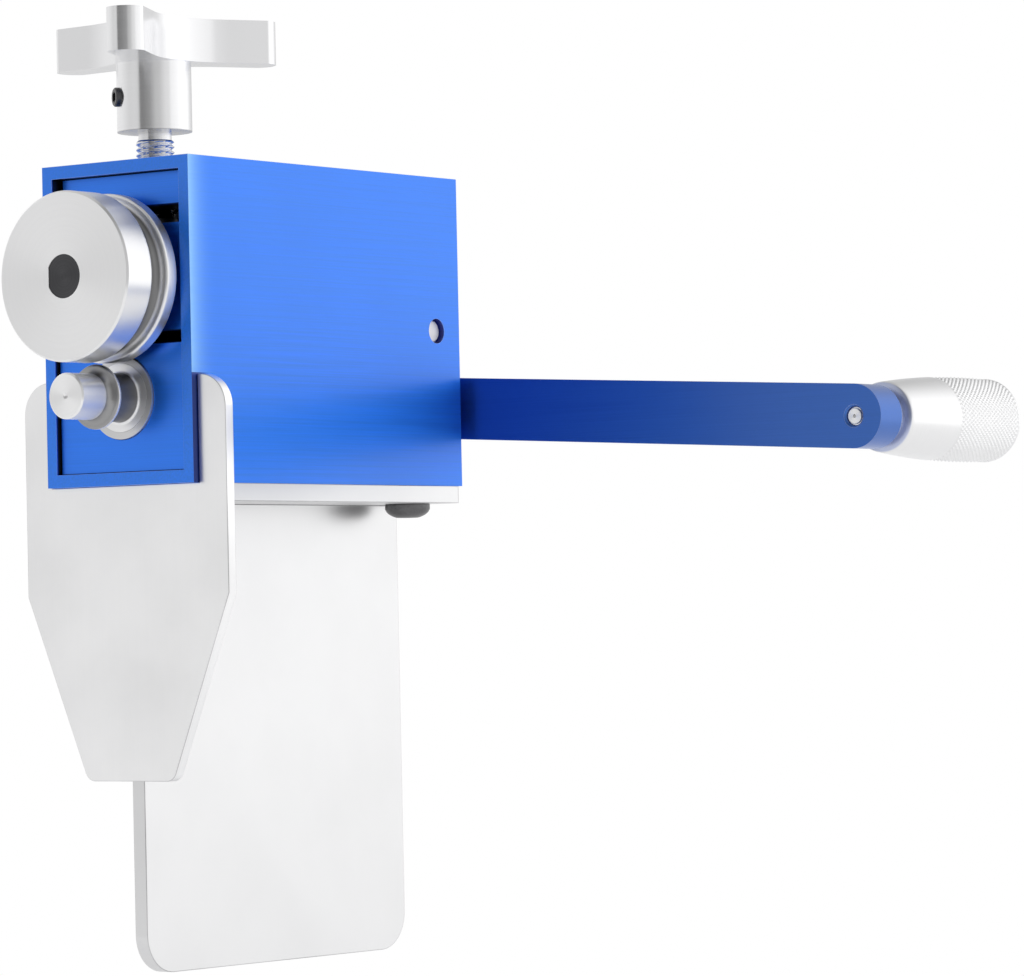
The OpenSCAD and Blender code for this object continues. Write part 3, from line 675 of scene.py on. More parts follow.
class RepeatTree:
    """A Geometry Nodes tree with named inputs, and the modifier that runs it."""

    def __init__(self, name: str, **inputs: str) -> None:
        """Makes the tree with a geometry input and the named inputs.

        Args:
            name: Name of the tree.
            **inputs: Names of its inputs, with commas between them, by kind of socket.
        """
        self.tree = bpy.data.node_groups.new(name, "GeometryNodeTree")
        self.keys: dict[str, str] = {}
        self.add_socket("Geometry", "INPUT", "Geometry")
        for kind, labels in {"Material": "Finish", **inputs}.items():
            for label in labels.split(", "):
                self.keys[label] = self.add_socket(label, "INPUT", kind)
        self.add_socket("Geometry", "OUTPUT", "Geometry")
        self.pen = NodePen(self.tree)
        self.start = self.pen.add("NodeGroupInput").outputs
        self.end = self.pen.add("NodeGroupOutput").inputs

    def add_socket(self, label: str, way: str, kind: str) -> str:
        """Adds an input or output to the tree and gives its identifier."""
        sockets = self.tree.interface
        return sockets.new_socket(label, in_out=way, socket_type="NodeSocket" + kind).identifier

    def close(self, geometry: Socket) -> None:
        """Ends the tree in Realize Instances and Set Material.

        Args:
            geometry: What the tree has made.
        """
        real = self.pen.add("GeometryNodeRealizeInstances", {0: geometry})
        inputs = {"Geometry": real.outputs[0], "Material": self.start["Finish"]}
        self.pen.feed(self.end[0], self.pen.add("GeometryNodeSetMaterial", inputs).outputs[0])

    def run(self, piece: Piece, values: dict[str, object]) -> None:
        """Runs the tree on a piece and keeps the result as its mesh.

        Args:
            piece: Object that carries the modifier.
            values: Value of each named input but the finish, which is the piece's own.
        """
        modifier = piece.modifiers.new(self.tree.name, "NODES")
        modifier.node_group = self.tree
        for label, value in {"Finish": piece.data.materials[0], **values}.items():
            modifier[self.keys[label]] = value
        piece.update_tag()
        bake(piece)


class CutTree(RepeatTree):
    """Cuts a repeating pattern into the outside of a turned piece."""

    def __init__(self, name: str, axis: Axis, further: str = "") -> None:
        """Builds the tree.

        Args:
            name: Name of the tree.
            axis: Axis that the piece was turned about.
            further: One more number that the pattern needs, after a comma.
        """
        numbers = "Pitch, Start, End, Fade, Depth, Least radius" + further
        super().__init__(name, Vector="Centre", Float=numbers)
        pen, start = self.pen, self.start
        flat = tuple(0.0 if i == axis.value else 1.0 for i in range(3))
        place = pen.add("GeometryNodeInputPosition").outputs[0]
        from_axis = pen.vector("SUBTRACT", place, start["Centre"]).outputs[0]
        arm = pen.vector("MULTIPLY", from_axis, flat).outputs[0]
        across = [part for i, part in enumerate(pen.split(arm)) if i != axis.value]
        along = pen.split(place)[axis.value]
        turn = pen.math("DIVIDE", pen.math("ARCTAN2", across[1], across[0]), 2.0 * math.pi)
        inward = pen.math("SUBTRACT", along, start["Start"])
        rows = pen.math("DIVIDE", inward, start["Pitch"])
        enter, leave = self.fade(inward), self.fade(pen.math("SUBTRACT", start["End"], along))
        far = pen.vector("LENGTH", arm).outputs["Value"]
        outside = pen.math("GREATER_THAN", far, start["Least radius"])
        lowered = pen.math("SUBTRACT", 1.0, self.height(turn, rows))
        depth = pen.product(lowered, enter, leave, outside, start["Depth"], -1.0)
        shift = pen.vector("SCALE", pen.vector("NORMALIZE", arm).outputs[0])
        pen.fill(shift, {"Scale": depth})
        inputs = {"Geometry": start["Geometry"], "Offset": shift.outputs[0]}
        self.close(pen.add("GeometryNodeSetPosition", inputs).outputs[0])

    def ramp(self, value: Socket) -> Socket:
        """Gives 0 on whole numbers and 1 half-way between them."""
        saw = self.pen.math("SUBTRACT", self.pen.product(self.pen.math("FRACT", value), 2.0), 1.0)
        return self.pen.math("SUBTRACT", 1.0, self.pen.math("ABSOLUTE", saw))

    def fade(self, distance: Socket) -> Socket:
        """Rises from 0 to 1 over the fading length."""
        share = self.pen.math("DIVIDE", distance, self.start["Fade"])
        return self.pen.math("MINIMUM", self.pen.math("MAXIMUM", share, 0.0), 1.0)

    def height(self, turn: Socket, rows: Socket) -> Socket:
        """Gives the pattern's height, 1 where uncut, by share of a turn and pitches along the axis."""
        raise NotImplementedError


class KnurlTree(CutTree):
    """Cuts a diamond knurl into a turned piece whose axis runs along Y."""

    def __init__(self) -> None:
        """Builds the tree."""
        super().__init__("Diamond knurl", Axis.Y, ", Around")

    def height(self, turn: Socket, rows: Socket) -> Socket:
        """Gives the height of diamonds between two sets of crossing grooves.

        Args:
            turn: Share of a turn about the axis.
            rows: Pitches along the axis.

        Returns:
            The height, 1 where uncut.
        """
        around = self.pen.product(turn, self.start["Around"])
        ramps = [self.ramp(self.pen.math(way, around, rows)) for way in ("ADD", "SUBTRACT")]
        return self.pen.math("MINIMUM", *ramps)


class ThreadTree(CutTree):
    """Cuts a right-hand thread into a turned piece whose axis runs along Z."""

    def __init__(self) -> None:
        """Builds the tree."""
        super().__init__("Screw thread", Axis.Z)

    def height(self, turn: Socket, rows: Socket) -> Socket:
        """Gives the height of flat-topped ridges along a helix."""
        root, crest = 0.1, 0.86
        return self.pen.spread(self.ramp(self.pen.math("SUBTRACT", rows, turn)), root, crest, 0.0, 1.0)


class CoilTree(RepeatTree):
    """Winds equal coil springs that stand on a line of points."""

    def __init__(self) -> None:
        """Builds the tree."""
        numbers = "Radius, Wire, Turns, Height"
        super().__init__("Coil springs", Float=numbers, Vector="First, Step", Int="Count")
        pen, start = self.pen, self.start
        spiral = pen.add("GeometryNodeCurveSpiral", {
            "Resolution": 40, "Rotations": start["Turns"], "Start Radius": start["Radius"],
            "End Radius": start["Radius"], "Height": start["Height"],
        })
        section = {"Resolution": 14, "Radius": start["Wire"]}
        wire = pen.add("GeometryNodeCurvePrimitiveCircle", section, mode="RADIUS")
        swept = pen.add("GeometryNodeCurveToMesh", {
            "Curve": spiral.outputs[0], "Profile Curve": wire.outputs[0], "Fill Caps": True,
        })
        line = {"Count": start["Count"], "Start Location": start["First"], "Offset": start["Step"]}
        spots = pen.add("GeometryNodeMeshLine", line, mode="OFFSET")
        inputs = {"Points": spots.outputs[0], "Instance": swept.outputs[0]}
        self.close(pen.add("GeometryNodeInstanceOnPoints", inputs).outputs[0])


class GridTree(RepeatTree):
    """Sets copies of one screw out on a grid."""

    def __init__(self) -> None:
        """Builds the tree."""
        counts = "Across, Along"
        super().__init__("Screw grid", Object="Screw", Vector="Middle", Float="Width, Length", Int=counts)
        pen, start = self.pen, self.start
        grid = pen.add("GeometryNodeMeshGrid", {
            "Size X": start["Width"], "Size Y": start["Length"],
            "Vertices X": start["Across"], "Vertices Y": start["Along"],
        })
        inputs = {"Geometry": grid.outputs[0], "Offset": start["Middle"]}
        moved = pen.add("GeometryNodeSetPosition", inputs)
        screw = pen.add("GeometryNodeObjectInfo", {"Object": start["Screw"]}, transform_space="ORIGINAL")
        inputs = {"Points": moved.outputs[0], "Instance": screw.outputs["Geometry"]}
        self.close(pen.add("GeometryNodeInstanceOnPoints", inputs).outputs[0])


def empty_piece(name: str, finish: Material) -> Piece:
    """Makes a piece with no mesh yet, for a tree to fill."""
    return settle(name, bmesh.new(), finish)


def face_out(piece: Piece) -> None:
    """Turns the faces of a closed piece outward and shades it smooth.

    Args:
        piece: Piece whose mesh is closed.
    """
    same_spot = 0.0005 * MM
    work = bmesh.new()
    work.from_mesh(piece.data)
    bmesh.ops.remove_doubles(work, verts=work.verts, dist=same_spot)
    bmesh.ops.recalc_face_normals(work, faces=work.faces)
    work.to_mesh(piece.data)
    work.free()
    smooth(piece.data)


def screw_set(
    name: str, profile: Profile, finish: Material, spot: Vector, spans: Span, rows: int
) -> Piece:
    """Turns one screw and sets copies of it out, two to a row.

    Args:
        name: Name of the piece.
        profile: Profile of one screw.
        finish: Material of the screws.
        spot: Middle of the set, in metres.
        spans: Distance between the screws across and along the part, in millimetres.
        rows: Number of rows along the part.

    Returns:
        The piece, which holds all the screws.
    """
    model = lathe("screw_model", profile, Matrix.Identity(4), COARSE, finish)
    piece = empty_piece(name, finish)
    GridTree().run(piece, {
        "Screw": model, "Middle": spot, "Width": spans[0] * MM, "Length": spans[1] * MM,
        "Across": 2, "Along": rows,
    })
    bpy.data.objects.remove(model)
    face_out(piece)
    return piece


def along_y(point: Vector) -> Matrix:
    """Gives the matrix that carries local Z to the Y axis through a point."""
    return Matrix.Translation(point) @ Matrix.Rotation(math.radians(-90.0), 4, "X")


def corner_arc(along: float, out: float, radius: float, steps: int = 6) -> Profile:
    """Gives a quarter circle of a profile about a point, from its widest place to the end face."""
    turns = [math.radians(90.0 * (1.0 - i / steps)) for i in range(steps + 1)]
    return [(along + radius * math.cos(t), out + radius * math.sin(t)) for t in turns]


def zone(base: float, start: float, end: float, left: float) -> Zone:
    """Gives a zone of painted shade, in millimetres from a base in metres, and the share of the colour left
    in it.
    """
    return (base + start * MM, base + end * MM, left)


class Paint:
    """The finishes of the part, each made once."""

    def __init__(self) -> None:
        """Makes the materials."""
        self.anodised()
        self.steel()
        self.satin()
        self.darkened()

    def anodised(self) -> None:
        """Makes the blue finishes of the tube, the blocks and the arm."""
        # Tube: a painted highlight band on the sides at the front end, a painted shadow band below the tube
        # stop, painted shade inside, and edges lighter with use.
        self.tube = RolledFinish(
            "Blue anodised tube", (0.02, 0.25, 1.0), roughness=0.54, swing=0.07, tone=0.2, fine=1500.0,
            edge_wear_and_shade=0.35, coat=0.9, share=0.85, dusk=0.4 * MM,
        ).material()
        # Blocks: edges darkened as painted shade in the gaps beside the tube, and painted shade inside the
        # housing.
        self.blue = RolledFinish(
            "Blue anodised block", (0.016, 0.22, 1.0), roughness=0.4, swing=0.06, edge_wear_and_shade=-0.85, coat=0.8,
            grain=Axis.X,
        ).material()
        self.arm = BrushedFinish(
            "Blue anodised bar", (0.037, 0.158, 0.56), roughness=0.45, swing=0.05, edge_wear_and_shade=0.35, coat=0.8,
            grain=Axis.X,
        ).material()

    def steel(self) -> None:
        """Makes the finishes of the plates, the rolls and the pin."""
        sheet = {"swing": 0.02, "bump": 0.002, "grain": Axis.Z}
        # The stop's and the plates' darker edges are painted dark reflections in their bevels.
        self.stop = BrushedFinish(
            "Stainless stop", (0.98, 0.98, 0.985), roughness=0.3, tone=0.16, edge_wear_and_shade=-0.5, streak=0.08,
            haze=0.5, **sheet,
        ).material()
        self.plate = BrushedFinish(
            "Stainless plate", (0.76, 0.76, 0.765), roughness=0.32, tone=0.05, edge_wear_and_shade=-0.4, streak=0.15,
            haze=0.75, **sheet,
        ).material()
        front = CORNER[1]
        # Painted shade in the upper die's groove, behind its front land.
        groove = (zone(front, -12.5, -6.0, 0.22),)
        # Painted shade on the lower roll's neck and behind its ridge, where the upper die and the ridge
        # shade it.
        neck = (zone(front, -9.4, 0.6, 0.2), zone(front, -13.6, -10.4, 0.36))
        self.upper_roll = TurnedFinish(
            "Turned upper roll", (0.92, 0.92, 0.925), roughness=0.33, swing=0.02, tone=0.02, bump=0.006,
            pull=0.8, centre=tuple(at(0.0, 0.0, UPPER_Z)), painted_shade_zones=groove,
        ).material()
        lower = {
            "roughness": 0.35, "swing": 0.02, "tone": 0.03, "bump": 0.005, "pull": 0.86,
            "centre": tuple(at(0.0, 0.0, LOWER_Z)),
        }
        self.lower_roll = TurnedFinish(
            "Turned lower roll", (0.98, 0.98, 0.985), painted_shade_zones=neck, **lower
        ).material()
        # The bush is made darker than the roll as painted shade from the upper die above it.
        self.bush = TurnedFinish("Ground bush", (0.72, 0.72, 0.725), **lower).material()
        self.pin = TurnedFinish(
            "Ground pin", (0.9, 0.89, 0.91), roughness=0.62, swing=0.05, tone=0.05, pull=0.2, axis=Axis.X,
            centre=tuple(at(0.0, PIVOT_Y, PIVOT_Z)),
        ).material()

    def satin(self) -> None:
        """Makes the finishes of the knob, its screw and the grip."""
        # Painted shade in a band at the foot of the knob.
        under = (zone(CORNER[2], 109.4, 110.4, 0.5),)
        # Painted shade on the screw's lower end, deep inside the housing.
        tip = (zone(CORNER[2], 70.0, 90.0, 0.03),)
        # Painted shade on the grip's front lead, tinted blue as a painted reflection of the arm.
        collar = (zone(CORNER[1], 149.5, 153.5, 0.5),)
        spindle = {"axis": Axis.Z, "centre": tuple(at(0.0, SCREW_Y, 0.0))}
        self.knob = TurnedFinish(
            "Satin knob", (0.86, 0.86, 0.87), roughness=0.19, swing=0.03, tone=0.05, pull=0.5, painted_shade_zones=under,
            **spindle,
        ).material()
        self.screw = TurnedFinish(
            "Turned screw", (0.84, 0.84, 0.85), roughness=0.2, swing=0.04, painted_shade_zones=tip, **spindle
        ).material()
        self.grip = TurnedFinish(
            "Satin grip", (0.96, 0.96, 0.965), roughness=0.34, swing=0.05, tone=0.06,
            centre=tuple(at(GRIP_X, 0.0, GRIP_Z)), painted_shade_zones=collar, painted_shade_colour=(0.19, 0.29, 0.65),
        ).material()

    def darkened(self) -> None:
        """Makes the dark finishes and the bronze."""
        upper = tuple(at(0.0, 0.0, UPPER_Z))
        self.dark = TurnedFinish(
            "Dark shaft", (0.09, 0.09, 0.095), roughness=0.42, tone=0.25, edge_wear_and_shade=0.2, centre=upper
        ).material()
        self.bronze = TurnedFinish(
            "Bearing bronze", (0.62, 0.4, 0.18), roughness=0.36, tone=0.2, centre=upper
        ).material()
        oxide = {"roughness": 0.36, "swing": 0.1}
        self.black = OxideFinish("Black oxide", (0.11, 0.11, 0.113), tone=0.4, **oxide).material()
        self.bolt = OxideFinish("Blackened bolt", (0.17, 0.17, 0.173), tone=0.3, **oxide).material()
        # The spring wire is near black as painted shade, so the springs read as the dark slot they sit in.
        self.spring = OxideFinish(
            "Spring wire", (0.025, 0.025, 0.027), roughness=0.8, swing=0.05, tone=0.25
        ).material()


@dataclass
class Housing:
    """The rectangular tube with its fixed blocks and pins."""

    tube_edge: float = 0.25  # rounding of the tube's edges, in millimetres
    block_edge: float = 0.35  # rounding of the blocks' edges
    screw_head: float = 5.0  # radius of the countersunk heads
    screw_shank: float = 2.5  # radius of their shanks
    screw_gap: float = 28.0
    screw_y: float = middle("top_block_screws", Axis.Y)
    screw_ends: Span = ends("top_block_screws", Axis.Z)
    socket_r: float = 1.5
    socket_point: float = 0.5  # depth of the point that the drill leaves in a socket

    def build(self, paint: Paint) -> None:
        """Builds and dresses the housing's pieces.

        Args:
            paint: Finishes of the part.
        """
        round_off("housing_tube", self.tube_edge, paint.tube, Body.FRAME)
        for node in ("top_block", "lower_block"):
            round_off(node, self.block_edge, paint.blue, Body.FRAME)
        finish_nodes(paint.pin, "pivot_pin")
        finish_nodes(paint.bush, "drive_front_bush")
        finish_nodes(paint.bronze, "drive_rear_bush")
        self.screws(paint)

    def screws(self, paint: Paint) -> None:
        """Sets the two countersunk screws into the top.

        Args:
            paint: Finishes of the part.
        """
        shank, head = self.screw_shank, self.screw_head
        low, top = self.screw_ends
        end = low - top
        socket, lip = self.socket_r, 1.5 * HAIR
        profile = [
            (end, 0.0), (end, shank - CHAMFER), (end + CHAMFER, shank), (shank - head, shank),
            (-HAIR, head - HAIR), (0.0, head - NICK), (0.0, socket + lip),
            (-lip, socket, SOCKET_SIDES), (-shank, socket, SOCKET_SIDES), (-shank - self.socket_point, 0.0),
        ]
        spot, spans = at(0.0, self.screw_y, top), (self.screw_gap, 0.0)
        piece = screw_set("top_block_screws_body", profile, paint.black, spot, spans, 1)
        stand_for(piece, Body.FRAME, "top_block_screws")


@dataclass
class Rocker:
    """The block that tilts inside the housing, its bushes and its return springs."""

    edge: float = 0.2  # rounding of the block's edges, in millimetres
    coil: float = 3.7  # mean radius of a spring
    wire: float = 0.6  # radius of its wire
    turns: float = 6.0

    def build(self, paint: Paint) -> None:
        """Builds and dresses the rocker's pieces.

        Args:
            paint: Finishes of the part.
        """
        round_off("rocker_block", self.edge, paint.blue, Body.ROCKER)
        finish_nodes(paint.bronze, "upper_front_bush", "upper_rear_bush")
        self.springs(paint)

    def springs(self, paint: Paint) -> None:
        """Winds the two springs, which stand in the frame and lift the rocker.

        Args:
            paint: Finishes of the part.
        """
        low, high = (Vector(corner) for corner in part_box("rocker_springs"))
        centre = (low + high) / 2.0
        side = (self.coil + self.wire) * MM
        piece = empty_piece("rocker_springs_body", paint.spring)
        CoilTree().run(piece, {
            "Radius": self.coil * MM, "Wire": self.wire * MM, "Turns": self.turns,
            "Height": high.z - low.z - 2.0 * self.wire * MM,
            "First": Vector((low.x + side, centre.y, low.z + self.wire * MM)),
            "Step": Vector((high.x - low.x - 2.0 * side, 0.0, 0.0)), "Count": 2,
        })
        face_out(piece)
        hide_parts("rocker_springs")
        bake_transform(piece)
        LOG.info("%s: %d faces, frame to rocker", piece.name, len(piece.data.polygons))


@dataclass
class UpperRoll:
    """The grooved upper die on its flatted shaft."""

    def build(self, paint: Paint) -> None:
        """Dresses the upper roll's pieces.

        Args:
            paint: Finishes of the part.
        """
        finish_nodes(paint.upper_roll, "upper_die")
        finish_nodes(paint.dark, "upper_shaft", "upper_retaining_ring")
        finish_nodes(paint.black, "upper_die_set_screw")


@dataclass
class Crank:
    """The drive shaft with its arm and the free-turning grip."""

    arm_edge: float = 0.45
    grip_ends: Span = ends("grip", Axis.Y)
    neck_r: float = 8.0
    lead: float = 3.6  # length of neck and shoulder
    lead_r: float = 11.0  # radius behind the shoulder
    crown: float = 49.0  # distance from the front to the widest place
    crown_r: float = 13.55
    end_round: float = 1.6  # rounding at its far end
    bore_r: float = 4.05
    cup_r: float = 7.0  # radius of the recess for the spindle's head
    cup: float = 59.0  # distance from the front to the recess's floor
    plain_step: float = 1.5  # distance between rings of faces on the plain part
    knurl_start: float = 29.5  # distance from the front to the knurl
    knurl_end: float = 63.0
    knurl_pitch: float = 2.2  # length of a diamond
    knurl_count: int = 60  # diamonds round the grip
    knurl_columns: int = 6  # faces round each diamond
    knurl_depth: float = 0.45
    knurl_fade: float = 0.5  # length over which the grooves run out
    knurl_floor: float = 12.0  # radius below which nothing is cut
    spindle_ends: Span = ends("grip_spindle", Axis.Y)
    shoulder_y: float = 149.0  # where the spindle gets thicker behind the arm
    head_t: float = 4.0  # thickness of the spindle's head
    head_r: float = 6.5
    spindle_r: float = 4.0  # radius inside the grip
    rivet_r: float = 3.0  # radius inside the arm
    boss_r: float = 2.5  # radius of its front end, inside a groove
    ring: float = 1.0  # depth of that groove
    mark: float = 1.4  # depth of the centre mark
    mark_r: float = 0.55

    def build(self, paint: Paint) -> None:
        """Builds and dresses the crank's pieces.

        Args:
            paint: Finishes of the part.
        """
        finish_nodes(paint.lower_roll, "drive_shaft", "crank_spacer")
        finish_nodes(paint.grip, "grip_washer")
        self.spindle(paint)
        finish_nodes(paint.black, "crank_set_screw")
        round_off("crank_arm", self.arm_edge, paint.arm, Body.CRANK)
        self.grip(paint)

    def spindle(self, paint: Paint) -> None:
        """Turns the spindle, with its riveted end in front and its socket head behind.

        Args:
            paint: Finishes of the part.
        """
        nose, end = self.spindle_ends
        step, seat = self.shoulder_y, end - self.head_t
        thin, boss, rod, head = self.rivet_r, self.boss_r, self.spindle_r, self.head_r
        mark, groove = nose + self.mark, nose + self.ring
        socket, floor = head / 2.0, seat + self.head_t / 3.0
        profile = [
            (mark, 0.0), (mark - NICK, self.mark_r - HAIR), (nose, self.mark_r),
            (nose, boss - 2.5 * HAIR), (nose + 1.2 * HAIR, boss - HAIR), (groove, boss),
            (groove, thin - NICK), (groove + NICK, thin), (step, thin),
            (step, rod - BREAK), (step + BREAK, rod), (seat, rod),
            (seat, head - BREAK), (seat + BREAK, head), (end - CHAMFER, head), (end, head - CHAMFER),
            (end, socket + NICK), (end - NICK, socket, SOCKET_SIDES), (floor, socket, SOCKET_SIDES),
            (floor - CHAMFER, 0.0),
        ]
        piece = lathe("grip_spindle_body", profile, along_y(at(GRIP_X, 0.0, GRIP_Z)), FINE, paint.grip)
        stand_for(piece, Body.CRANK, "grip_spindle")

    def barrel(self, along: float) -> float:
        """Gives the grip's radius at a distance from its front.

        Args:
            along: Distance from the front, in millimetres.

        Returns:
            The radius, in millimetres.
        """
        rise = self.crown_r - self.lead_r
        run = self.crown - self.lead
        bow = (run ** 2 + rise ** 2) / (2.0 * rise)
        return self.crown_r - bow + math.sqrt(bow ** 2 - (along - self.crown) ** 2)

    def grip(self, paint: Paint) -> None:
        """Turns the grip and cuts its knurl.

        Args:
            paint: Finishes of the part.
        """
        front, rear = self.grip_ends
        length, cut = rear - front, self.knurl_start
        tail = length - self.end_round
        shoulder = self.lead - CHAMFER
        plain = int((cut - self.lead) / self.plain_step)
        dense = int((self.knurl_end - cut) / (self.knurl_pitch / PITCH_RINGS))
        stops = [self.lead + (cut - self.lead) * i / plain for i in range(plain)]
        stops += [cut + (tail - cut) * i / dense for i in range(dense)]
        profile: Profile = [
            (NICK, self.bore_r), (0.0, self.bore_r + NICK), (0.0, self.neck_r - NICK), (NICK, self.neck_r),
            (shoulder, self.neck_r), (shoulder, self.lead_r - CHAMFER),
            *[(stop, self.barrel(stop)) for stop in stops],
            *corner_arc(tail, self.barrel(tail) - self.end_round, self.end_round),
            (length, self.cup_r + BREAK), (length - BREAK, self.cup_r),
            (self.cup, self.cup_r), (self.cup, self.bore_r),
        ]
        place = along_y(at(GRIP_X, front, GRIP_Z))
        piece = lathe("grip_body", profile, place, self.knurl_count * self.knurl_columns, paint.grip)
        base = at(0.0, front, 0.0).y
        KnurlTree().run(piece, {
            "Centre": at(GRIP_X, 0.0, GRIP_Z), "Around": float(self.knurl_count),
            "Pitch": self.knurl_pitch * MM, "Start": base + cut * MM, "End": base + self.knurl_end * MM,
            "Fade": self.knurl_fade * MM, "Depth": self.knurl_depth * MM,
            "Least radius": self.knurl_floor * MM,
        })
        smooth(piece.data, angle=50.0)
        stand_for(piece, Body.HANDLE, "grip")


@dataclass
class PressureScrew:
    """The three-armed knob and the threaded screw below it."""

    screw_ends: Span = ends("pressure_screw", Axis.Z)
    tip_r: float = 3.0
    foot_z: float = 82.9  # lower end of the thread
    thread_z: float = 107.4  # upper end of the thread
    thread_r: float = 6.0  # radius of its crest
    pitch: float = 1.75
    depth: float = 0.85
    run_out: float = 0.6  # taper at the thread's ends, and the length over which its grooves run out
    bare_rings: int = 3  # rings of faces that the taper takes the place of at each end
    stem_r: float = 5.2
    knob_edge: float = 0.45
    knob_arms: int = 3
    knob_turn: float = -62.4  # bearing of the knob's first arm, in degrees from the right
    knob_reach: float = 39.5
    knob_tip: float = 4.0  # rounding of the arms' tips
    bow: float = 0.05  # how far in a tip is bowed, over the square of the distance from its middle
    bow_cuts: int = 3  # cuts across a tip on each side of its middle
    bow_gap: float = 0.45  # distance between these cuts

    def build(self, paint: Paint) -> None:
        """Builds and dresses the screw's pieces.

        Args:
            paint: Finishes of the part.
        """
        round_off("tri_knob", self.knob_edge, paint.knob, Body.SCREW, self.bow_tips)
        finish_nodes(paint.black, "knob_set_screw")
        finish_nodes(paint.dark, "pressure_pad")
        self.thread(paint)

    def bow_tips(self, work: bmesh.types.BMesh) -> None:
        """Bows the flat ends of the knob's arms a little, inside their outline.

        Args:
            work: The knob's mesh, which is changed.
        """
        centre = at(0.0, SCREW_Y, 0.0)
        start, tip = (self.knob_reach - self.knob_tip) * MM, (self.knob_reach - HAIR) * MM
        for arm in range(self.knob_arms):
            turn = math.radians(self.knob_turn + 360.0 / self.knob_arms * arm)
            out = Vector((math.cos(turn), math.sin(turn), 0.0))
            side = Vector((-math.sin(turn), math.cos(turn), 0.0))
            for step in range(-self.bow_cuts, self.bow_cuts + 1):
                caps = [face for face in work.faces if (face.calc_center_median() - centre).dot(out) > tip]
                bounds = {part for face in caps for part in (*face.edges, *face.verts)}
                spot = centre + self.bow_gap * step * MM * side
                bmesh.ops.bisect_plane(work, geom=[*caps, *bounds], plane_co=spot, plane_no=side)
            for vert in work.verts:
                reach, off = (vert.co - centre).dot(out), (vert.co - centre).dot(side) / MM
                if reach > start:
                    vert.co -= out * self.bow * off ** 2 * (reach - start) / self.knob_tip

    def thread(self, paint: Paint) -> None:
        """Turns the screw and cuts its thread.

        Args:
            paint: Finishes of the part.
        """
        foot, top, crest = self.foot_z, self.thread_z, self.thread_r
        tip, end = self.screw_ends
        rows = int((top - foot) / (self.pitch / PITCH_RINGS))
        cut = range(self.bare_rings, rows + 1 - self.bare_rings)
        profile: Profile = [
            (tip, 0.0), (tip, self.tip_r - CHAMFER), (tip + CHAMFER, self.tip_r),
            (foot, self.tip_r), (foot, crest - self.run_out),
            *[(foot + (top - foot) * i / rows, crest) for i in cut],
            (top, crest - self.run_out), (top, self.stem_r), (end - BREAK, self.stem_r),
            (end, self.stem_r - BREAK), (end, 0.0),
        ]
        place = at(0.0, SCREW_Y, 0.0)
        piece = lathe("pressure_screw_body", profile, Matrix.Translation(place), FINE, paint.screw)
        ThreadTree().run(piece, {
            "Centre": place, "Pitch": self.pitch * MM, "Start": place.z + (foot + CHAMFER) * MM,
            "End": place.z + (top - CHAMFER) * MM, "Fade": self.run_out * MM, "Depth": self.depth * MM,
            "Least radius": (crest - CHAMFER) * MM,
        })
        smooth(piece.data, angle=40.0)
        stand_for(piece, Body.SCREW, "pressure_screw")


@dataclass
class Stand:
    """The base plate, the plate for the vise, the tube stop and the screws that hold them."""

    plate_edge: float = 0.25
    shank_r: float = 4.0
    head_r: float = 7.3
    head_h: float = 4.4
    rim_h: float = 1.232  # height of the straight rim below the dome
    socket_r: float = 2.92
    socket_d: float = 2.64
    point: float = 0.6  # depth of the point in a socket, and chamfer of a shank
    dome_steps: int = 10  # parts of the dome's profile
    seat_z: float = ends("base_plate", Axis.Z)[0]
    screw_z: float = ends("base_screws", Axis.Z)[1]  # upper end of the screws
    screw_gap: float = 30.0  # distance between the screws of a pair
    front_y: float = 15.8
    rear_y: float = 123.0

    def build(self, paint: Paint) -> None:
        """Builds and dresses the stand's pieces.

        Args:
            paint: Finishes of the part.
        """
        plates = {"base_plate": paint.plate, "vise_plate": paint.plate, "tube_stop": paint.stop}
        for node, finish in plates.items():
            round_off(node, self.plate_edge, finish, Body.FRAME)
        self.screws(paint)

    def dome(self) -> Profile:
        """Gives the bowed top of a screw's head, from its rim to its socket.

        Returns:
            Points of the profile, in millimetres from the head's seat.
        """
        rim, inner = self.head_r - HAIR, self.socket_r + self.point
        radii = [rim + (inner - rim) * i / self.dome_steps for i in range(self.dome_steps + 1)]
        rises = [math.sqrt(1.0 - (r / self.head_r) ** 2) for r in radii]
        bow = (self.head_h - self.rim_h) / rises[-1]
        return [(-self.rim_h - bow * rise, r) for r, rise in zip(radii, rises)]

    def screws(self, paint: Paint) -> None:
        """Sets the four button-head screws under the base plate.

        Args:
            paint: Finishes of the part.
        """
        shank, head, socket, reach = self.shank_r, self.head_r, self.socket_r, self.screw_z - self.seat_z
        dome = self.dome()
        rim, top, floor = dome[0][0], dome[-1][0], self.socket_d - self.head_h
        profile = [
            (reach, 0.0), (reach, shank - self.point), (reach - self.point, shank), (0.0, shank),
            (0.0, head - NICK), (-NICK, head), (rim + 1.5 * HAIR, head), *dome,
            (top + HAIR / 5.0, socket + 1.5 * BREAK), (top + BREAK, socket, SOCKET_SIDES),
            (floor, socket, SOCKET_SIDES), (floor + self.point, 0.0),
        ]
        spot = at(0.0, (self.front_y + self.rear_y) / 2.0, self.seat_z)
        spans = (self.screw_gap, self.rear_y - self.front_y)
        piece = screw_set("base_screws_body", profile, paint.bolt, spot, spans, 2)
        stand_for(piece, Body.FRAME, "base_screws")


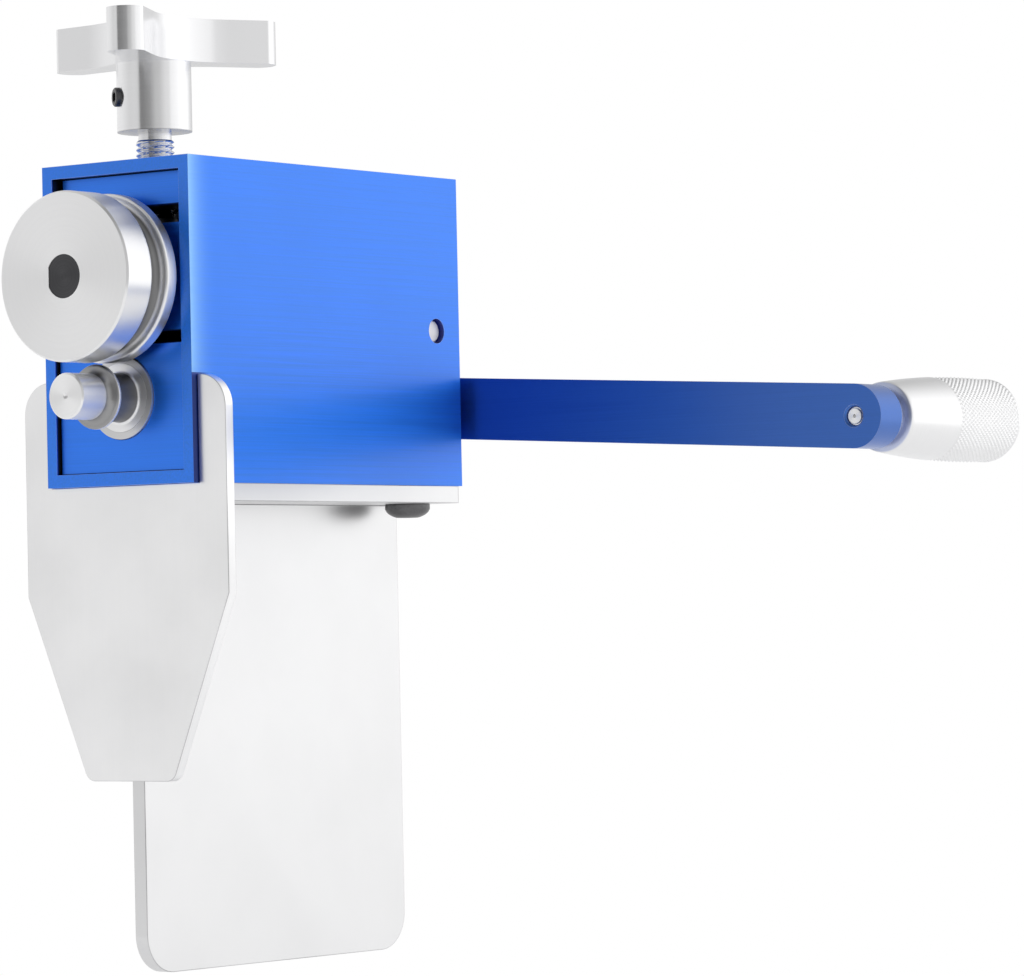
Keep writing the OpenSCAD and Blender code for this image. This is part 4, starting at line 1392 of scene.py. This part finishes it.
@dataclass
class Studio:
    """A pale floor, soft lamps, a white surround and the camera."""

    floor_z: float = -0.16
    floor_r: float = 1.8
    floor_glow: float = 0.5  # share of the surround's white in it under the part
    floor_colour: Rgb = (0.86, 0.86, 0.87)
    floor_fade: Span = (0.3, 1.62)  # where it fades into the surround, in metres from the origin
    level: float = 0.75  # strength of the surround on matt surfaces
    # Brightness of the surround in shiny metal, by bearing in degrees from the front toward the right
    bands: list[Span] = field(default_factory=lambda: [
        (-180.0, 1.1), (-168.0, 1.0), (-158.0, 0.85), (-140.0, 0.85), (-125.0, 1.15), (-75.0, 1.15),
        (-45.0, 0.95), (-37.0, 0.93), (-22.0, 0.96), (-8.0, 0.9), (-3.0, 0.26), (8.0, 0.3), (28.0, 0.42),
        (45.0, 0.72), (57.0, 0.76), (77.0, 1.05), (89.0, 1.08), (93.0, 1.3), (115.0, 1.45), (143.0, 1.7),
        (165.0, 1.5), (180.0, 1.1),
    ])
    zenith: Span = (0.5, 0.85)  # steepness where it starts to dim in shiny metal, and ends
    zenith_level: float = 0.65  # how bright it is left there
    # Name, place, side and power in watts of each lamp
    lamps: list[tuple[str, Point, float, float]] = field(default_factory=lambda: [
        ("Key lamp", (1.3, -0.5, 1.7), 1.2, 9.0),
        ("Fill lamp", (-1.5, -1.2, 1.0), 1.4, 5.0),
        ("Back lamp", (0.6, 1.6, 1.5), 1.2, 6.0),
    ])
    place: Point = (0.99817370, -1.19105276, 0.07695381)  # where the camera stands
    right: Point = (0.7985626, 0.60153259, -0.02136157)  # its axis to the right
    up: Point = (0.02933666, -0.00344938, 0.99956364)  # its axis upward
    back: Point = (0.60119642, -0.79884081, -0.02040151)  # its axis away from the part
    lens: float = 171.4135
    shift: Span = (-0.015534, 0.030323)  # how far the picture is moved on the film

    def build(self) -> None:
        """Builds the floor, the lamps, the surround and the camera."""
        self.floor()
        self.world()
        for name, spot, size, power in self.lamps:
            self.lamp(name, Vector(spot), size, power)
        self.camera()
        bpy.context.scene.view_settings.view_transform = "Standard"

    def floor(self) -> None:
        """Lays a round pale floor under the part."""
        work = bmesh.new()
        bmesh.ops.create_circle(work, cap_ends=True, segments=FINE, radius=self.floor_r)
        bmesh.ops.translate(work, verts=work.verts, vec=(0.0, 0.0, self.floor_z))
        made = bpy.data.materials.new("Pale floor")
        made.use_nodes = True
        pen = NodePen(made.node_tree)
        shader = made.node_tree.nodes["Principled BSDF"]
        colour = opaque(self.floor_colour)
        pen.fill(shader, {"Base Color": colour, "Roughness": 0.8, "Specular IOR Level": 0.1})
        far = pen.vector("LENGTH", pen.place()).outputs["Value"]
        share = pen.spread(far, *self.floor_fade, self.floor_glow, 1.0)
        faded = pen.mix(share, shader, pen.add("ShaderNodeEmission"))
        pen.feed(made.node_tree.nodes["Material Output"].inputs["Surface"], faded.outputs[0])
        settle("floor", work, made)

    def lamp(self, name: str, spot: Vector, size: float, power: float) -> None:
        """Hangs a soft square lamp that looks at the part.

        Args:
            name: Name of the lamp.
            spot: Where it hangs, in metres.
            size: Length of its side.
            power: Power in watts.
        """
        data = bpy.data.lights.new(name, "AREA")
        data.size = size
        data.energy = power
        lamp = bpy.data.objects.new(name, data)
        lamp.location = spot
        lamp.visible_glossy = False
        lamp.rotation_euler = (-spot).to_track_quat("-Z", "Y").to_euler()
        bpy.context.scene.collection.objects.link(lamp)

    def ring(self, pen: NodePen, across: Socket, along: Socket) -> Socket:
        """Gives the brightness of the surround by bearing.

        Args:
            pen: Pen of the surround's tree.
            across: The part to the right of the direction looked along.
            along: Its part to the back.

        Returns:
            The brightness's socket.
        """
        bearing = pen.math("ARCTAN2", across, pen.product(along, -1.0))
        ramp = pen.add("ShaderNodeValToRGB", {0: pen.spread(bearing, -math.pi, math.pi, 0.0, 1.0)})
        stops = ramp.color_ramp.elements
        top = max(bright for turn, bright in self.bands)
        for turn, bright in self.bands[1:-1]:
            stops.new((turn + 180.0) / 360.0)
        for stop, (turn, bright) in zip(stops, self.bands):
            stop.color = opaque((bright / top,) * 3)
        return pen.product(ramp.outputs[0], top)

    def world(self) -> None:
        """Sets a white surround that shows soft darker bands in shiny metal."""
        world = bpy.data.worlds.new("Studio")
        bpy.context.scene.world = world
        world.use_nodes = True
        pen = NodePen(world.node_tree)
        seen = world.node_tree.nodes["Background"]
        pen.fill(seen, {"Color": opaque((1.0, 1.0, 1.0)), "Strength": 1.0})
        across, along, up = pen.split(pen.add("ShaderNodeTexCoord").outputs["Generated"])
        high = pen.spread(pen.math("ABSOLUTE", up), *self.zenith, 1.0, self.zenith_level)
        shine = pen.product(self.ring(pen, across, along), high)
        matt = pen.add("ShaderNodeBackground", {"Strength": self.level})
        glossy = pen.add("ShaderNodeBackground", {"Strength": shine})
        path = pen.add("ShaderNodeLightPath").outputs
        lit = pen.mix(path["Is Glossy Ray"], matt, glossy)
        mixed = pen.mix(path["Is Camera Ray"], lit, seen)
        pen.feed(world.node_tree.nodes["World Output"].inputs["Surface"], mixed.outputs[0])

    def camera(self) -> None:
        """Stands the camera where the photograph was taken from."""
        data = bpy.data.cameras.new("Camera")
        data.sensor_width = 36.0
        data.lens = self.lens
        data.shift_x, data.shift_y = self.shift
        data.clip_end = 20.0
        camera = bpy.data.objects.new("Camera", data)
        turn = Matrix((self.right, self.up, self.back)).transposed()
        camera.matrix_world = Matrix.Translation(self.place) @ turn.to_4x4()
        bpy.context.scene.collection.objects.link(camera)
        bpy.context.scene.camera = camera


def main() -> None:
    """Builds every sub-assembly in order, then the studio."""
    logging.basicConfig(level=logging.INFO, format="%(name)s: %(message)s")
    paint = Paint()
    for assembly in (Housing(), Rocker(), UpperRoll(), Crank(), PressureScrew(), Stand()):
        LOG.info("building %s", type(assembly).__name__)
        assembly.build(paint)
    Studio().build()


if __name__ == "__main__":
    main()
